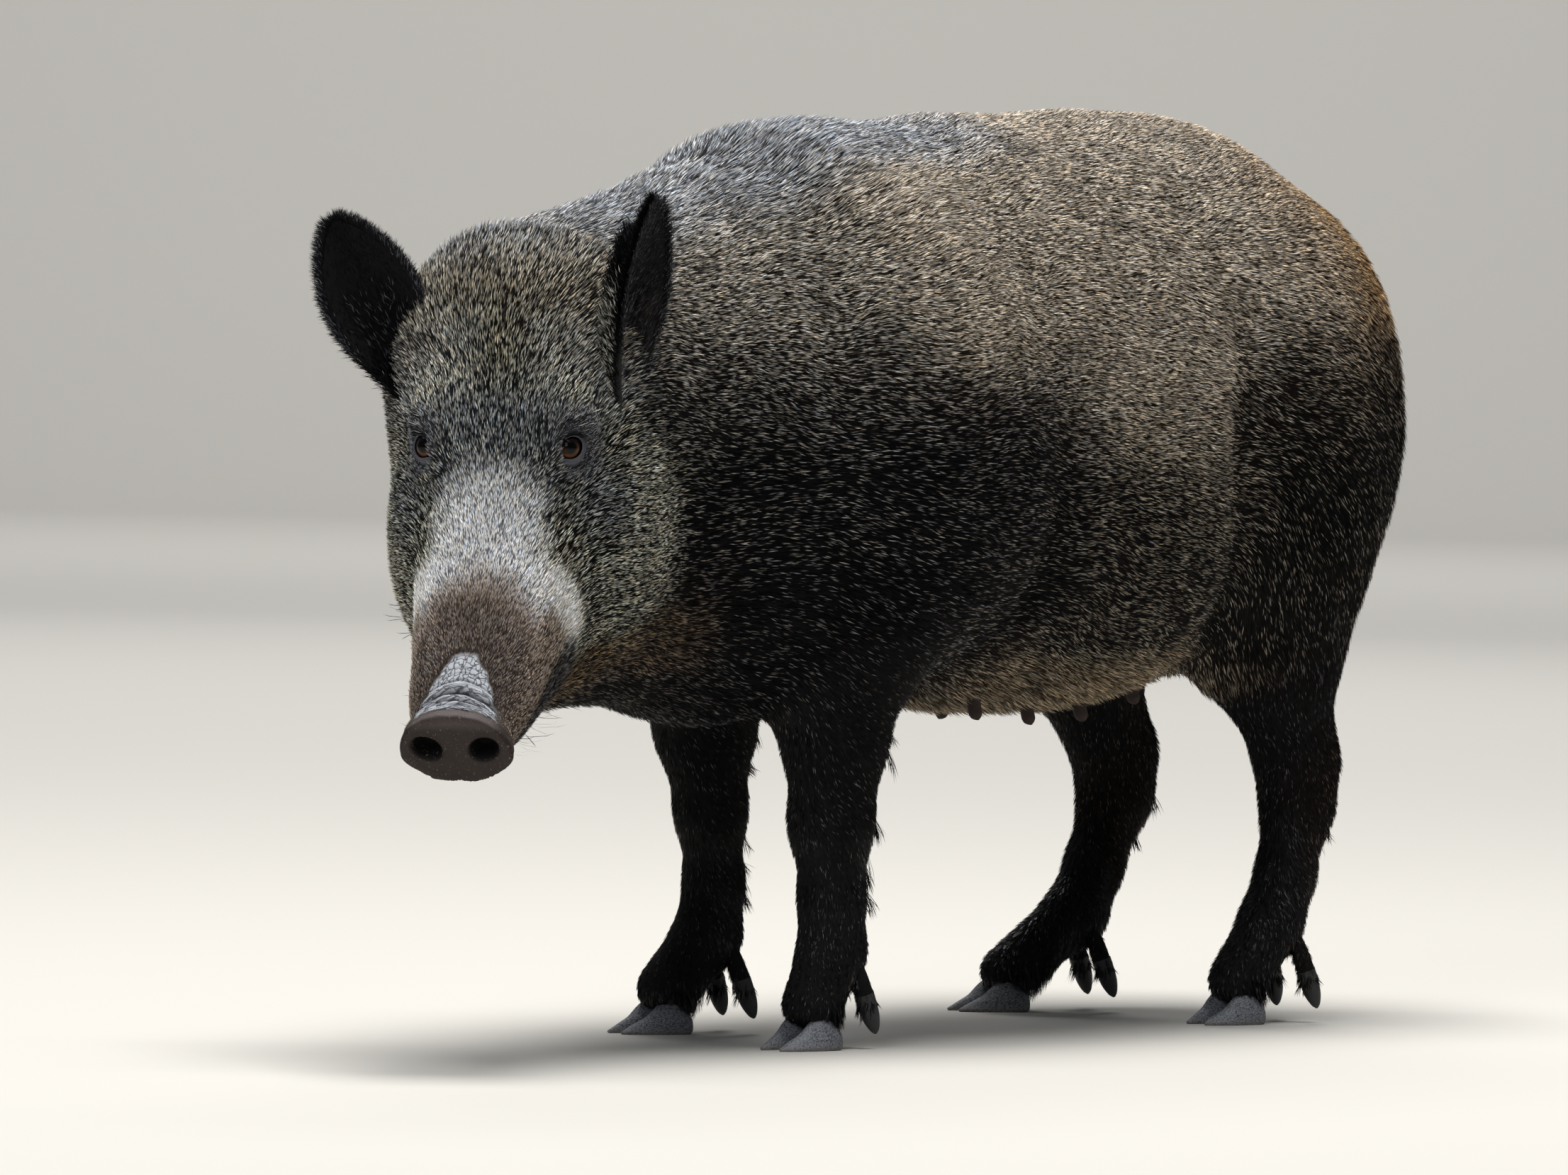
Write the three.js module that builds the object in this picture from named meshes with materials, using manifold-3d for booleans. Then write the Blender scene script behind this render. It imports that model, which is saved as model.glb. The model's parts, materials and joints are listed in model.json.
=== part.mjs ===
// Wild boar sow, standing, life size. Millimetres, +Z up; she faces -Y and her left side is +X.
// The body is one rounded form, written as a distance function that blends muscles, trunk, neck and head.
// It is meshed region by region and parted with thin cuts into the nodes that a person would name.
import * as THREE from "three";
import { mergeVertices } from "three/addons/utils/BufferGeometryUtils.js";
import Module from "manifold-3d";

const wasm = await Module();
wasm.setup();
const { Manifold, Mesh: SolidMesh } = wasm;

// ---------------------------------------------------------------- driving dimensions
const GAP = 0.4; // between neighbouring solids
const ORIGIN_SHIFT = [0, 214.5, 0]; // from the middle of the fore feet to the middle of the whole animal
const BACK_HEIGHT = 733;
const BELLY_HEIGHT = 250;
const TRUNK_HALF_WIDTH = 191;
const HEAD_YAW = 26; // degrees, turned to her left
const HEAD_PITCH = 37; // degrees, muzzle axis below the horizontal
const SNOUT_CENTRE = [139, -868, 266]; // middle of the snout disc's front face
const LEAN = 2; // degrees: trunk and head tip forward, so the croup stands above the withers
const LEAN_CENTRE = [0, -295, 0];
const EYE = { side: 52, back: 257, up: 84, radius: 12.5 }; // in the head's own frame

// ---------------------------------------------------------------- small maths
const rad = THREE.MathUtils.degToRad;
const len3 = (x, y, z) => Math.sqrt(x * x + y * y + z * z);
const clamp01 = (v) => Math.min(1, Math.max(0, v));
const smoothMin = (a, b, k) => {
  const h = Math.max(k - Math.abs(a - b), 0) / k;
  return Math.min(a, b) - (h * h * k) / 4;
};
const smoothMax = (a, b, k) => -smoothMin(-a, -b, k);

// Cubic curve through named stations, with level ends.
function curveThrough(stations, key) {
  const x = stations.map((s) => s.at);
  const y = stations.map((s) => s[key]);
  const slope = y.map((_, i) =>
    i === 0 || i === y.length - 1 ? 0 : (y[i + 1] - y[i - 1]) / (x[i + 1] - x[i - 1]),
  );
  return (t) => {
    if (t <= x[0]) return y[0];
    if (t >= x[x.length - 1]) return y[y.length - 1];
    let i = 0;
    while (t > x[i + 1]) i++;
    const w = x[i + 1] - x[i];
    const u = (t - x[i]) / w;
    const u2 = u * u;
    const u3 = u2 * u;
    return (
      y[i] * (2 * u3 - 3 * u2 + 1) +
      y[i + 1] * (3 * u2 - 2 * u3) +
      slope[i] * w * (u3 - 2 * u2 + u) +
      slope[i + 1] * w * (u3 - u2)
    );
  };
}

// ---------------------------------------------------------------- shapes as distance functions
// A body swept along one axis: top, low and half width at each station, widest at "mid".
function sweep(stations, power) {
  const [top, mid, low, half] = ["top", "mid", "low", "half"].map((k) => curveThrough(stations, k));
  const first = stations[0].at;
  const last = stations[stations.length - 1].at;
  return (side, along, up) => {
    const m = mid(along);
    const v = up - m;
    const b = v > 0 ? top(along) - m : m - low(along);
    const rho = Math.max(Math.hypot(side, v), 1e-3);
    const q = (Math.abs(side / half(along)) ** power + Math.abs(v / b) ** power) ** (1 / power);
    const wall = rho * (1 - 1 / Math.max(q, 1e-6));
    return Math.max(wall, first - along, along - last);
  };
}

// An ellipsoid, tilted about the sideways axis by "tilt" degrees (front end down when positive).
function ball([cx, cy, cz], [rx, ry, rz], tilt = 0) {
  const [c, s] = [Math.cos(rad(tilt)), Math.sin(rad(tilt))];
  return (x, y, z) => {
    const dx = x - cx;
    const dy = y - cy;
    const dz = z - cz;
    const ty = dy * c - dz * s;
    const tz = dy * s + dz * c;
    const k0 = len3(dx / rx, ty / ry, tz / rz);
    const k1 = len3(dx / (rx * rx), ty / (ry * ry), tz / (rz * rz));
    return k1 < 1e-9 ? -Math.min(rx, ry, rz) : (k0 * (k0 - 1)) / k1;
  };
}

// A cone with round ends between two points, flattened sideways by "flat".
function limb(a, b, ra, rb, flat = 1) {
  const ax = a[0];
  const d = [(b[0] - ax) / flat, b[1] - a[1], b[2] - a[2]];
  const dd = d[0] * d[0] + d[1] * d[1] + d[2] * d[2];
  return (x, y, z) => {
    const p = [(x - ax) / flat, y - a[1], z - a[2]];
    const t = clamp01((p[0] * d[0] + p[1] * d[1] + p[2] * d[2]) / dd);
    const r = ra + (rb - ra) * t;
    return (len3(p[0] - d[0] * t, p[1] - d[1] * t, p[2] - d[2] * t) - r) * Math.min(1, flat);
  };
}

// Shapes blended one after another, each with its own softness.
function blend(list) {
  return (x, y, z) => {
    let d = 1e6;
    for (const [shape, k] of list) d = smoothMin(d, shape(x, y, z), k);
    return d;
  };
}

// ---------------------------------------------------------------- the leaning trunk and the head's frame
const leanFrame = new THREE.Matrix4()
  .makeTranslation(...LEAN_CENTRE)
  .multiply(new THREE.Matrix4().makeRotationX(rad(LEAN)))
  .multiply(new THREE.Matrix4().makeTranslation(...LEAN_CENTRE.map((v) => -v)));
const moved = (matrix) => {
  const e = matrix.elements;
  return (x, y, z) => [
    e[0] * x + e[4] * y + e[8] * z + e[12],
    e[1] * x + e[5] * y + e[9] * z + e[13],
    e[2] * x + e[6] * y + e[10] * z + e[14],
  ];
};
const upright = moved(leanFrame.clone().invert());

// side = towards her left, back = from the snout towards the poll, up = away from the chin.
const headTurn = new THREE.Matrix4()
  .makeRotationZ(rad(HEAD_YAW))
  .multiply(new THREE.Matrix4().makeRotationX(rad(HEAD_PITCH)));
const levelHead = new THREE.Matrix4().makeTranslation(...SNOUT_CENTRE).multiply(headTurn);
const headFrame = leanFrame.clone().multiply(levelHead);
const intoHead = moved(headFrame.clone().invert());
const outOfHead = (p) => moved(headFrame)(...p);

const HEAD_STATIONS = [
  { at: 0, top: 33, mid: -5, low: -31, half: 43 },
  { at: 10, top: 34, mid: -5, low: -31, half: 44 },
  { at: 24, top: 29, mid: -4, low: -36, half: 40 },
  { at: 60, top: 33, mid: -8, low: -50, half: 47 },
  { at: 110, top: 42, mid: -14, low: -70, half: 54 },
  { at: 160, top: 56, mid: -20, low: -92, half: 62 },
  { at: 205, top: 76, mid: -24, low: -112, half: 71 },
  { at: 256, top: 108, mid: -18, low: -124, half: 82 },
  { at: 310, top: 136, mid: 0, low: -126, half: 93 },
  { at: 370, top: 156, mid: 10, low: -110, half: 98 },
  { at: 420, top: 158, mid: 20, low: -80, half: 96 },
];
const headSweep = sweep(HEAD_STATIONS, 2.2);
const cheeks = [-1, 1].map((side) => ball([side * 52, 285, -30], [50, 72, 72]));
const brows = [-1, 1].map((side) => ball([side * 47, 268, 92], [26, 36, 20], -20));
const sockets = [-1, 1].map((side) => ball([side * (EYE.side + 14), EYE.back - 10, EYE.up], [16, 18, 13]));

function headShape(x, y, z) {
  const [side, back, up] = intoHead(x, y, z);
  if (back < -60) return -back;
  let d = headSweep(side, back, up);
  for (const cheek of cheeks) d = smoothMin(d, cheek(side, back, up), 40);
  for (const brow of brows) d = smoothMin(d, brow(side, back, up), 22);
  for (const socket of sockets) d = smoothMax(d, -socket(side, back, up), 14);
  return d;
}

// ---------------------------------------------------------------- trunk and neck
const TRUNK_STATIONS = [
  { at: -400, top: 652, mid: 480, low: 360, half: 110 },
  { at: -340, top: 700, mid: 475, low: 305, half: 150 },
  { at: -250, top: BACK_HEIGHT - 8, mid: 465, low: 285, half: 172 },
  { at: -120, top: BACK_HEIGHT, mid: 455, low: 262, half: 184 },
  { at: 10, top: BACK_HEIGHT + 2, mid: 450, low: BELLY_HEIGHT, half: TRUNK_HALF_WIDTH },
  { at: 120, top: BACK_HEIGHT + 3, mid: 455, low: 258, half: TRUNK_HALF_WIDTH },
  { at: 240, top: BACK_HEIGHT - 14, mid: 480, low: 310, half: 182 },
  { at: 340, top: 655, mid: 490, low: 360, half: 150 },
];
const trunkSweep = sweep(TRUNK_STATIONS, 2.15);
const nape = moved(levelHead)(0, 400, 40);
const throat = moved(levelHead)(0, 262, -86);
const mirrored = (make) => [1, -1].map(make);

const torso = blend([
  [trunkSweep, 1],
  [ball([0, 235, 512], [180, 232, 194]), 50], // croup
  [ball([0, -395, 392], [118, 122, 128]), 70], // brisket
  [limb([0, -300, 552], nape, 160, 120, 0.95), 60], // crest of the neck
  [limb([0, -395, 398], throat, 126, 78), 60], // dewlap
  ...mirrored((s) => [ball([s * 92, -265, 470], [92, 120, 190], 12), 60]), // shoulders
  ...mirrored((s) => [ball([s * 92, 246, 442], [92, 138, 188], -6), 60]), // thighs
]);

// ---------------------------------------------------------------- legs
// Each leg is a chain of joints from the body down to the coronet, and LEG_FLAT narrows it sideways.
// "turn" is how many degrees the toes point to her right, which is where all four of them point a little.
const LEGS = {
  foreleg_left: {
    foot: [92, -336],
    turn: 6,
    reach: 3,
    knee: 185,
    joints: [
      { up: 400, back: 10, r: 74 },
      { up: 310, back: 6, r: 60 },
      { up: 250, back: -2, r: 49 },
      { up: 180, back: -5, r: 38 },
      { up: 120, back: -2, r: 29 },
      { up: 78, back: 0, r: 29 },
      { up: 36, back: -22, r: 27 },
    ],
  },
  foreleg_right: {
    foot: [-92, -252],
    turn: 20,
    reach: 5,
    knee: 185,
    joints: [
      { up: 400, back: -20, r: 74 },
      { up: 310, back: -20, r: 64 },
      { up: 250, back: -14, r: 48 },
      { up: 180, back: -4, r: 33 },
      { up: 120, back: 2, r: 27 },
      { up: 80, back: -4, r: 29 },
      { up: 36, back: -41, r: 27 },
    ],
  },
  hindleg_left: {
    foot: [98, 268],
    turn: 9,
    reach: 4,
    knee: 205,
    joints: [
      { up: 400, back: -45, r: 92 },
      { up: 300, back: -10, r: 58 },
      { up: 215, back: 26, r: 39 },
      { up: 180, back: 28, r: 34 },
      { up: 120, back: 12, r: 27 },
      { up: 84, back: -6, r: 28 },
      { up: 36, back: -44, r: 27 },
    ],
  },
  hindleg_right: {
    foot: [-98, 255],
    turn: 26,
    reach: 6,
    knee: 205,
    joints: [
      { up: 400, back: -30, r: 92 },
      { up: 300, back: 0, r: 58 },
      { up: 215, back: 54, r: 40 },
      { up: 180, back: 56, r: 35 },
      { up: 120, back: 28, r: 27 },
      { up: 82, back: 4, r: 28 },
      { up: 32, back: -62, r: 25 },
    ],
  },
};
const LEG_FLAT = 0.86;
// Where a point on the middle line of the foot lies once the toes are turned about the fetlock.
function turned({ foot, turn }, back) {
  const [s, c] = [Math.sin(rad(turn)), Math.cos(rad(turn))];
  return [foot[0] + s * back, foot[1] + c * back];
}
function legShape(leg) {
  const at = leg.joints.map((j, i) => {
    if (i === leg.joints.length - 1) return [...turned(leg, j.back), j.up];
    return [leg.foot[0] * (j.up > 350 ? 0.95 : 1), leg.foot[1] + j.back, j.up];
  });
  const { joints } = leg;
  return blend(
    joints.slice(1).map((j, i) => [limb(at[i], at[i + 1], joints[i].r, j.r, LEG_FLAT), 14]),
  );
}
const legShapes = Object.values(LEGS).map(legShape);

// ---------------------------------------------------------------- the whole flesh
function flesh(x, y, z) {
  let d = smoothMin(torso(...upright(x, y, z)), headShape(x, y, z), 45);
  for (const leg of legShapes) d = smoothMin(d, leg(x, y, z), 40);
  return d;
}

// ---------------------------------------------------------------- meshing
// Surface nets: one vertex in each cell that the surface crosses, in a box of the given frame.
function netMesh(distance, frame, low, high, cell) {
  const count = low.map((l, i) => Math.ceil((high[i] - l) / cell[i]));
  const [nx, ny, nz] = count.map((c) => c + 1);
  const grid = new Float32Array(nx * ny * nz);
  const at = (i, j, k) => i + nx * (j + ny * k);
  const p = new THREE.Vector3();
  for (let k = 0; k < nz; k++)
    for (let j = 0; j < ny; j++)
      for (let i = 0; i < nx; i++) {
        const edge = i === 0 || j === 0 || k === 0 || i === nx - 1 || j === ny - 1 || k === nz - 1;
        p.set(low[0] + i * cell[0], low[1] + j * cell[1], low[2] + k * cell[2]).applyMatrix4(frame);
        const d = distance(p.x, p.y, p.z);
        grid[at(i, j, k)] = edge ? Math.max(d, 0.5) : d;
      }
  const corners = [0, 1, 2, 3, 4, 5, 6, 7].map((c) => [c & 1, (c >> 1) & 1, (c >> 2) & 1]);
  const edges = [];
  corners.forEach((a, i) =>
    corners.forEach((b, j) => {
      const steps = Math.abs(a[0] - b[0]) + Math.abs(a[1] - b[1]) + Math.abs(a[2] - b[2]);
      if (j > i && steps === 1) edges.push([i, j]);
    }),
  );
  const points = [];
  const index = new Int32Array(grid.length).fill(-1);
  for (let k = 0; k < nz - 1; k++)
    for (let j = 0; j < ny - 1; j++)
      for (let i = 0; i < nx - 1; i++) {
        const d = corners.map(([a, b, c]) => grid[at(i + a, j + b, k + c)]);
        if (d.every((v) => v > 0) || d.every((v) => v <= 0)) continue;
        const sum = [0, 0, 0];
        let n = 0;
        for (const [a, b] of edges) {
          if (d[a] > 0 === d[b] > 0) continue;
          const t = d[a] / (d[a] - d[b]);
          for (let c = 0; c < 3; c++) sum[c] += corners[a][c] + t * (corners[b][c] - corners[a][c]);
          n++;
        }
        index[at(i, j, k)] = points.length / 3;
        p.set(
          low[0] + (i + sum[0] / n) * cell[0],
          low[1] + (j + sum[1] / n) * cell[1],
          low[2] + (k + sum[2] / n) * cell[2],
        ).applyMatrix4(frame);
        points.push(p.x, p.y, p.z);
      }
  const faces = [];
  const gap2 = (a, b) => {
    let s = 0;
    for (let c = 0; c < 3; c++) s += (points[3 * a + c] - points[3 * b + c]) ** 2;
    return s;
  };
  const quad = (a, b, c, d, flip) => {
    const q = flip ? [d, c, b, a] : [a, b, c, d];
    if (gap2(q[0], q[2]) < gap2(q[1], q[3])) faces.push(q[0], q[1], q[2], q[0], q[2], q[3]);
    else faces.push(q[0], q[1], q[3], q[1], q[2], q[3]);
  };
  const step = [1, nx, nx * ny];
  for (let k = 0; k < nz - 1; k++)
    for (let j = 0; j < ny - 1; j++)
      for (let i = 0; i < nx - 1; i++) {
        const here = at(i, j, k);
        const place = [i, j, k];
        for (let axis = 0; axis < 3; axis++) {
          if (place[(axis + 1) % 3] === 0 || place[(axis + 2) % 3] === 0) continue;
          const next = here + step[axis];
          const inside = grid[here] <= 0;
          if (inside === grid[next] <= 0) continue;
          const u = step[(axis + 1) % 3];
          const v = step[(axis + 2) % 3];
          quad(index[here - u - v], index[here - v], index[here], index[here - u], !inside);
        }
      }
  return geometryOf(points, faces);
}

function geometryOf(points, faces) {
  return new THREE.BufferGeometry()
    .setAttribute("position", new THREE.Float32BufferAttribute(points, 3))
    .setIndex(faces);
}

// ---------------------------------------------------------------- solids
const closedSolid = (points, faces) =>
  new Manifold(
    new SolidMesh({
      numProp: 3,
      vertProperties: new Float32Array(points),
      triVerts: new Uint32Array(faces),
    }),
  );

function solidOf(geometry, matrix = new THREE.Matrix4()) {
  const g = geometry.clone().applyMatrix4(matrix);
  g.deleteAttribute("normal");
  g.deleteAttribute("uv");
  const merged = mergeVertices(g, 1e-3);
  return closedSolid(merged.attributes.position.array, merged.index.array);
}

function geometryFromSolid(solid) {
  const mesh = solid.getMesh();
  return geometryOf(Array.from(mesh.vertProperties), Array.from(mesh.triVerts));
}

// A box given by its lowest and highest corners in a frame, as a solid.
function boxSolid(low, high, frame = new THREE.Matrix4()) {
  const size = high.map((h, i) => h - low[i]);
  const box = new THREE.BoxGeometry(...size);
  box.translate(...low.map((l, i) => l + size[i] / 2));
  return solidOf(box, frame);
}
const grown = (low, high, by, frame) =>
  boxSolid(
    low.map((v) => v - by),
    high.map((v) => v + by),
    frame,
  );

// A row of closed rings joined into one body with flat ends.
function loftSolid(rings) {
  const n = rings[0].length;
  const points = rings.flat(2);
  const faces = [];
  for (let r = 0; r < rings.length - 1; r++)
    for (let i = 0; i < n; i++) {
      const [a, b] = [r * n + i, r * n + ((i + 1) % n)];
      faces.push(a, b, b + n, a, b + n, a + n);
    }
  const last = (rings.length - 1) * n;
  for (let i = 1; i < n - 1; i++) faces.push(0, i + 1, i, last, last + i, last + i + 1);
  const solid = closedSolid(points, faces);
  if (solid.volume() > 0) return solid;
  for (let f = 0; f < faces.length; f += 3) [faces[f], faces[f + 1]] = [faces[f + 1], faces[f]];
  return closedSolid(points, faces);
}

// A tapering tube through points, each with its own radius.
function tubeSolid(spine, radii, sides, extra = 0) {
  const rings = spine.map((p, r) => {
    const before = new THREE.Vector3(...spine[Math.max(0, r - 1)]);
    const after = new THREE.Vector3(...spine[Math.min(spine.length - 1, r + 1)]);
    const along = after.sub(before).normalize();
    const across = new THREE.Vector3(1, 0, 0).addScaledVector(along, -along.x).normalize();
    const third = new THREE.Vector3().crossVectors(along, across);
    return Array.from({ length: sides }, (_, i) => {
      const a = (2 * Math.PI * i) / sides;
      const q = new THREE.Vector3(...p)
        .addScaledVector(across, Math.cos(a) * (radii[r] + extra))
        .addScaledVector(third, Math.sin(a) * (radii[r] + extra));
      return q.toArray();
    });
  });
  return loftSolid(rings);
}

// ---------------------------------------------------------------- materials
const paint = (color, roughness) => new THREE.MeshStandardMaterial({ color, roughness, metalness: 0 });
const COAT = paint("#4a4039", 0.85);
const DARK_COAT = paint("#1b1817", 0.8);
const NOSE_SKIN = paint("#4b3b36", 0.55);
const EYE_BROWN = paint("#3a1f10", 0.1);
const HORN = paint("#55504d", 0.5);

const FLAT = new THREE.Matrix4();
const boar = new THREE.Group();
const placed = new THREE.Matrix4().makeTranslation(...ORIGIN_SHIFT);
function addNode(name, solid, material) {
  const mesh = new THREE.Mesh(geometryFromSolid(solid).applyMatrix4(placed), material);
  mesh.name = name;
  boar.add(mesh);
}

// ---------------------------------------------------------------- head
const headCells = netMesh(flesh, headFrame, [-190, 130, -190], [190, 460, 230], [29,31,28]);
const headAll = solidOf(headCells);
const muzzleCells = netMesh(flesh, headFrame, [-80, -8, -140], [80, 190, 90], [16,18,15]);
const muzzleAll = solidOf(muzzleCells);
const NECK_CUT = 395; // where the head ends, behind the ears
const MUZZLE_CUT = 165;
const DISC_DEPTH = 14;
const MOUTH_SLOPE = 16;
const HEAD_LOW = [-150, -20, -150];
const HEAD_HIGH = [150, NECK_CUT, 230];
const headBlock = grown(HEAD_LOW, HEAD_HIGH, GAP, headFrame);
const mouthFrame = headFrame
  .clone()
  .multiply(new THREE.Matrix4().makeTranslation(0, 20, -27))
  .multiply(new THREE.Matrix4().makeRotationX(rad(-MOUTH_SLOPE)));
const JAW_LOW = [-130, 2, -160];
const JAW_HIGH = [130, 175, 0];

// An ear is a cupped leaf: two offset sheets stitched at the rim.
// root and tip are given in the head's frame; "open" is the direction that the cup faces, in the world.
const EARS = {
  ear_right: { root: [-84, 335, 96], tip: [-144, 411, 182], open: [0.45, -0.88, 0.1] },
  ear_left: { root: [92, 335, 96], tip: [112, 410, 203], open: [0.93, 0.2, 0.2] },
};
const EAR_PROFILE = [
  { at: 0, half: 27, cup: 22 },
  { at: 0.22, half: 33, cup: 21 },
  { at: 0.48, half: 35, cup: 16 },
  { at: 0.7, half: 28, cup: 10 },
  { at: 0.87, half: 17, cup: 5 },
  { at: 0.97, half: 8, cup: 1.5 },
  { at: 1, half: 4, cup: 0 },
];
const EAR_THICK = 8;
const earHalf = curveThrough(EAR_PROFILE, "half");
const earCup = curveThrough(EAR_PROFILE, "cup");
function earSolid({ root, tip, open }, extra = 0) {
  const a = new THREE.Vector3(...outOfHead(root));
  const axis = new THREE.Vector3(...outOfHead(tip)).sub(a);
  const length = axis.length();
  axis.normalize();
  const facing = new THREE.Vector3(...open);
  facing.addScaledVector(axis, -facing.dot(axis)).normalize();
  const across = new THREE.Vector3().crossVectors(axis, facing);
  const rows = [0, 0.16, 0.34, 0.52, 0.7, 0.84, 0.94, 1];
  const columns = [-1, -0.72, -0.25, 0.25, 0.72, 1];
  const rings = rows.map((u) => {
    const half = earHalf(u) + 1.3 * extra;
    const cup = earCup(u);
    const thick = EAR_THICK * (1 - 0.45 * u) * 0.5 + 4 * extra;
    const sheet = (v, side) =>
      a
        .clone()
        .addScaledVector(axis, u * (length + 2 * extra) - extra)
        .addScaledVector(across, v * half)
        .addScaledVector(facing, -cup * (1 - v * v) + side * thick * (1 - 0.55 * v * v))
        .toArray();
    return [...columns.map((v) => sheet(v, 1)), ...columns.map((v) => sheet(-v, -1))];
  });
  return loftSolid(rings);
}

const eyeBall = (side, radius) =>
  solidOf(
    new THREE.SphereGeometry(radius, 9, 6),
    headFrame.clone().multiply(new THREE.Matrix4().makeTranslation(side * EYE.side, EYE.back, EYE.up)),
  );

const NOSTRIL = { side: 19, up: 3, wide: 10, tall: 7.5, depth: 9 };
function nostrilPit(side) {
  const pit = new THREE.CylinderGeometry(1, 0.7, NOSTRIL.depth * 2, 12);
  const m = headFrame
    .clone()
    .multiply(new THREE.Matrix4().makeTranslation(side * NOSTRIL.side, 0, NOSTRIL.up))
    .multiply(new THREE.Matrix4().makeRotationX(rad(180)))
    .multiply(new THREE.Matrix4().makeScale(NOSTRIL.wide, 1, NOSTRIL.tall));
  return solidOf(pit, m);
}

const between = (from, to) =>
  boxSolid([HEAD_LOW[0], from, HEAD_LOW[2]], [HEAD_HIGH[0], to, HEAD_HIGH[2]], headFrame);
let skull = headAll.intersect(between(MUZZLE_CUT, NECK_CUT));
for (const ear of Object.values(EARS)) skull = skull.subtract(earSolid(ear, GAP));
for (const side of [-1, 1]) skull = skull.subtract(eyeBall(side, EYE.radius + GAP));
let disc = muzzleAll.intersect(between(HEAD_LOW[1], DISC_DEPTH - GAP));
for (const side of [-1, 1]) disc = disc.subtract(nostrilPit(side));

const snout = muzzleAll.intersect(between(DISC_DEPTH, MUZZLE_CUT - GAP));
addNode("head", skull, COAT);
addNode("muzzle", snout.subtract(grown(JAW_LOW, JAW_HIGH, GAP, mouthFrame)), COAT);
addNode("snout_disc", disc, NOSE_SKIN);
addNode("lower_jaw", snout.intersect(boxSolid(JAW_LOW, JAW_HIGH, mouthFrame)), COAT);
for (const [name, ear] of Object.entries(EARS)) addNode(name, earSolid(ear), DARK_COAT);
addNode("eye_left", eyeBall(1, EYE.radius), EYE_BROWN);
addNode("eye_right", eyeBall(-1, EYE.radius), EYE_BROWN);

// ---------------------------------------------------------------- neck, trunk and tail
const bodyCells = netMesh(flesh, FLAT, [-260, -800, 200], [260, 560, 810], [49,67,47]);
const bodyAll = solidOf(bodyCells).subtract(headBlock);
const NECK_END = -450;
const SHOULDER_END = -150;
const LOIN_START = 130;
const FORE_CUT = 296; // height where the fore legs leave the trunk
const WIDE = 400;

// The thighs leave the trunk at a plane that rises from the flank fold to the seat.
const thighFrame = new THREE.Matrix4()
  .makeTranslation(0, 140, 312)
  .multiply(new THREE.Matrix4().makeRotationX(rad(17)));
const thighBlock = (side, by) =>
  boxSolid(
    [side > 0 ? -by + GAP / 2 : -WIDE, -by, -WIDE],
    [side > 0 ? WIDE : by - GAP / 2, WIDE, by],
    thighFrame,
  );
const forelegBlock = (side, by) =>
  boxSolid(
    [side > 0 ? 4 - by : -WIDE, -480, -WIDE],
    [side > 0 ? WIDE : by - 4, SHOULDER_END - 2 + by, FORE_CUT + by],
  );

// The tail leaves the top of the croup, follows it down and then hangs straight, tufted at its end.
const TAIL = [
  { z: 628, radius: 17, out: -34 },
  { z: 612, radius: 15, out: 2 },
  { z: 572, radius: 12, out: 12 },
  { z: 515, radius: 10, out: 13 },
  { z: 455, radius: 8.5, out: 13 },
  { z: 395, radius: 10, out: 13 },
  { z: 350, radius: 8, out: 13 },
  { z: 326, radius: 2, out: 12 },
];
const rumpBack = (z) => {
  let y = 600;
  while (y > 300 && flesh(0, y, z) > 0) y -= 1;
  return y;
};
const hang = rumpBack(500) - 4;
const TAIL_SPINE = TAIL.map(({ z, out }) => [0, Math.max(rumpBack(z), z < 560 ? hang : 0) + out, z]);
const TAIL_RADII = TAIL.map((t) => t.radius);
const TEAT_ROWS = [
  { side: 50, from: -100 },
  { side: -50, from: -142 },
];
const TEAT = { inRow: 4, spacing: 73, length: 18, radius: 6 };

const slab = (from, to) => boxSolid([-WIDE, from, -WIDE], [WIDE, to, 2 * WIDE + 100]);
let trunk = bodyAll;
for (const side of [-1, 1]) trunk = trunk.subtract(thighBlock(side, GAP)).subtract(forelegBlock(side, GAP));
for (const row of TEAT_ROWS)
  for (let i = 0; i < TEAT.inRow; i++) {
    const y = row.from + i * TEAT.spacing;
    let z = 200;
    while (flesh(row.side, y, z) > 0) z += 1;
    const lean = Math.sign(row.side) * 4;
    const spine = [8, -0.6 * TEAT.length, -TEAT.length].map((dz, j) => [row.side + lean * j, y, z + dz]);
    trunk = trunk.add(tubeSolid(spine, [1.1, 0.9, 0.55].map((k) => k * TEAT.radius), 6));
  }
const neck = trunk.intersect(slab(-900, NECK_END - GAP));
const shoulders = trunk.intersect(slab(NECK_END, SHOULDER_END - GAP));
const barrel = trunk.intersect(slab(SHOULDER_END, LOIN_START - GAP));
const rump = trunk.intersect(slab(LOIN_START, 700)).subtract(tubeSolid(TAIL_SPINE, TAIL_RADII, 6, GAP));
addNode("neck", neck, COAT);
addNode("shoulders", shoulders, COAT);
addNode("barrel", barrel, COAT);
addNode("hindquarters", rump, COAT);
addNode("tail", tubeSolid(TAIL_SPINE, TAIL_RADII, 6), DARK_COAT);

// ---------------------------------------------------------------- legs and feet
const FOOT_TOP = 96;
const LEG_CELL = [23,25,33];
const FOOT_CELL = [17,18,16];
const CORONET = { height: 24, slope: 15 };
const CLAW_SPREAD = 13.5; // from the middle of the foot to the middle of each claw
const DEWCLAW = { side: 18, back: 12, up: 57, length: 45, radius: 8 };

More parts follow.
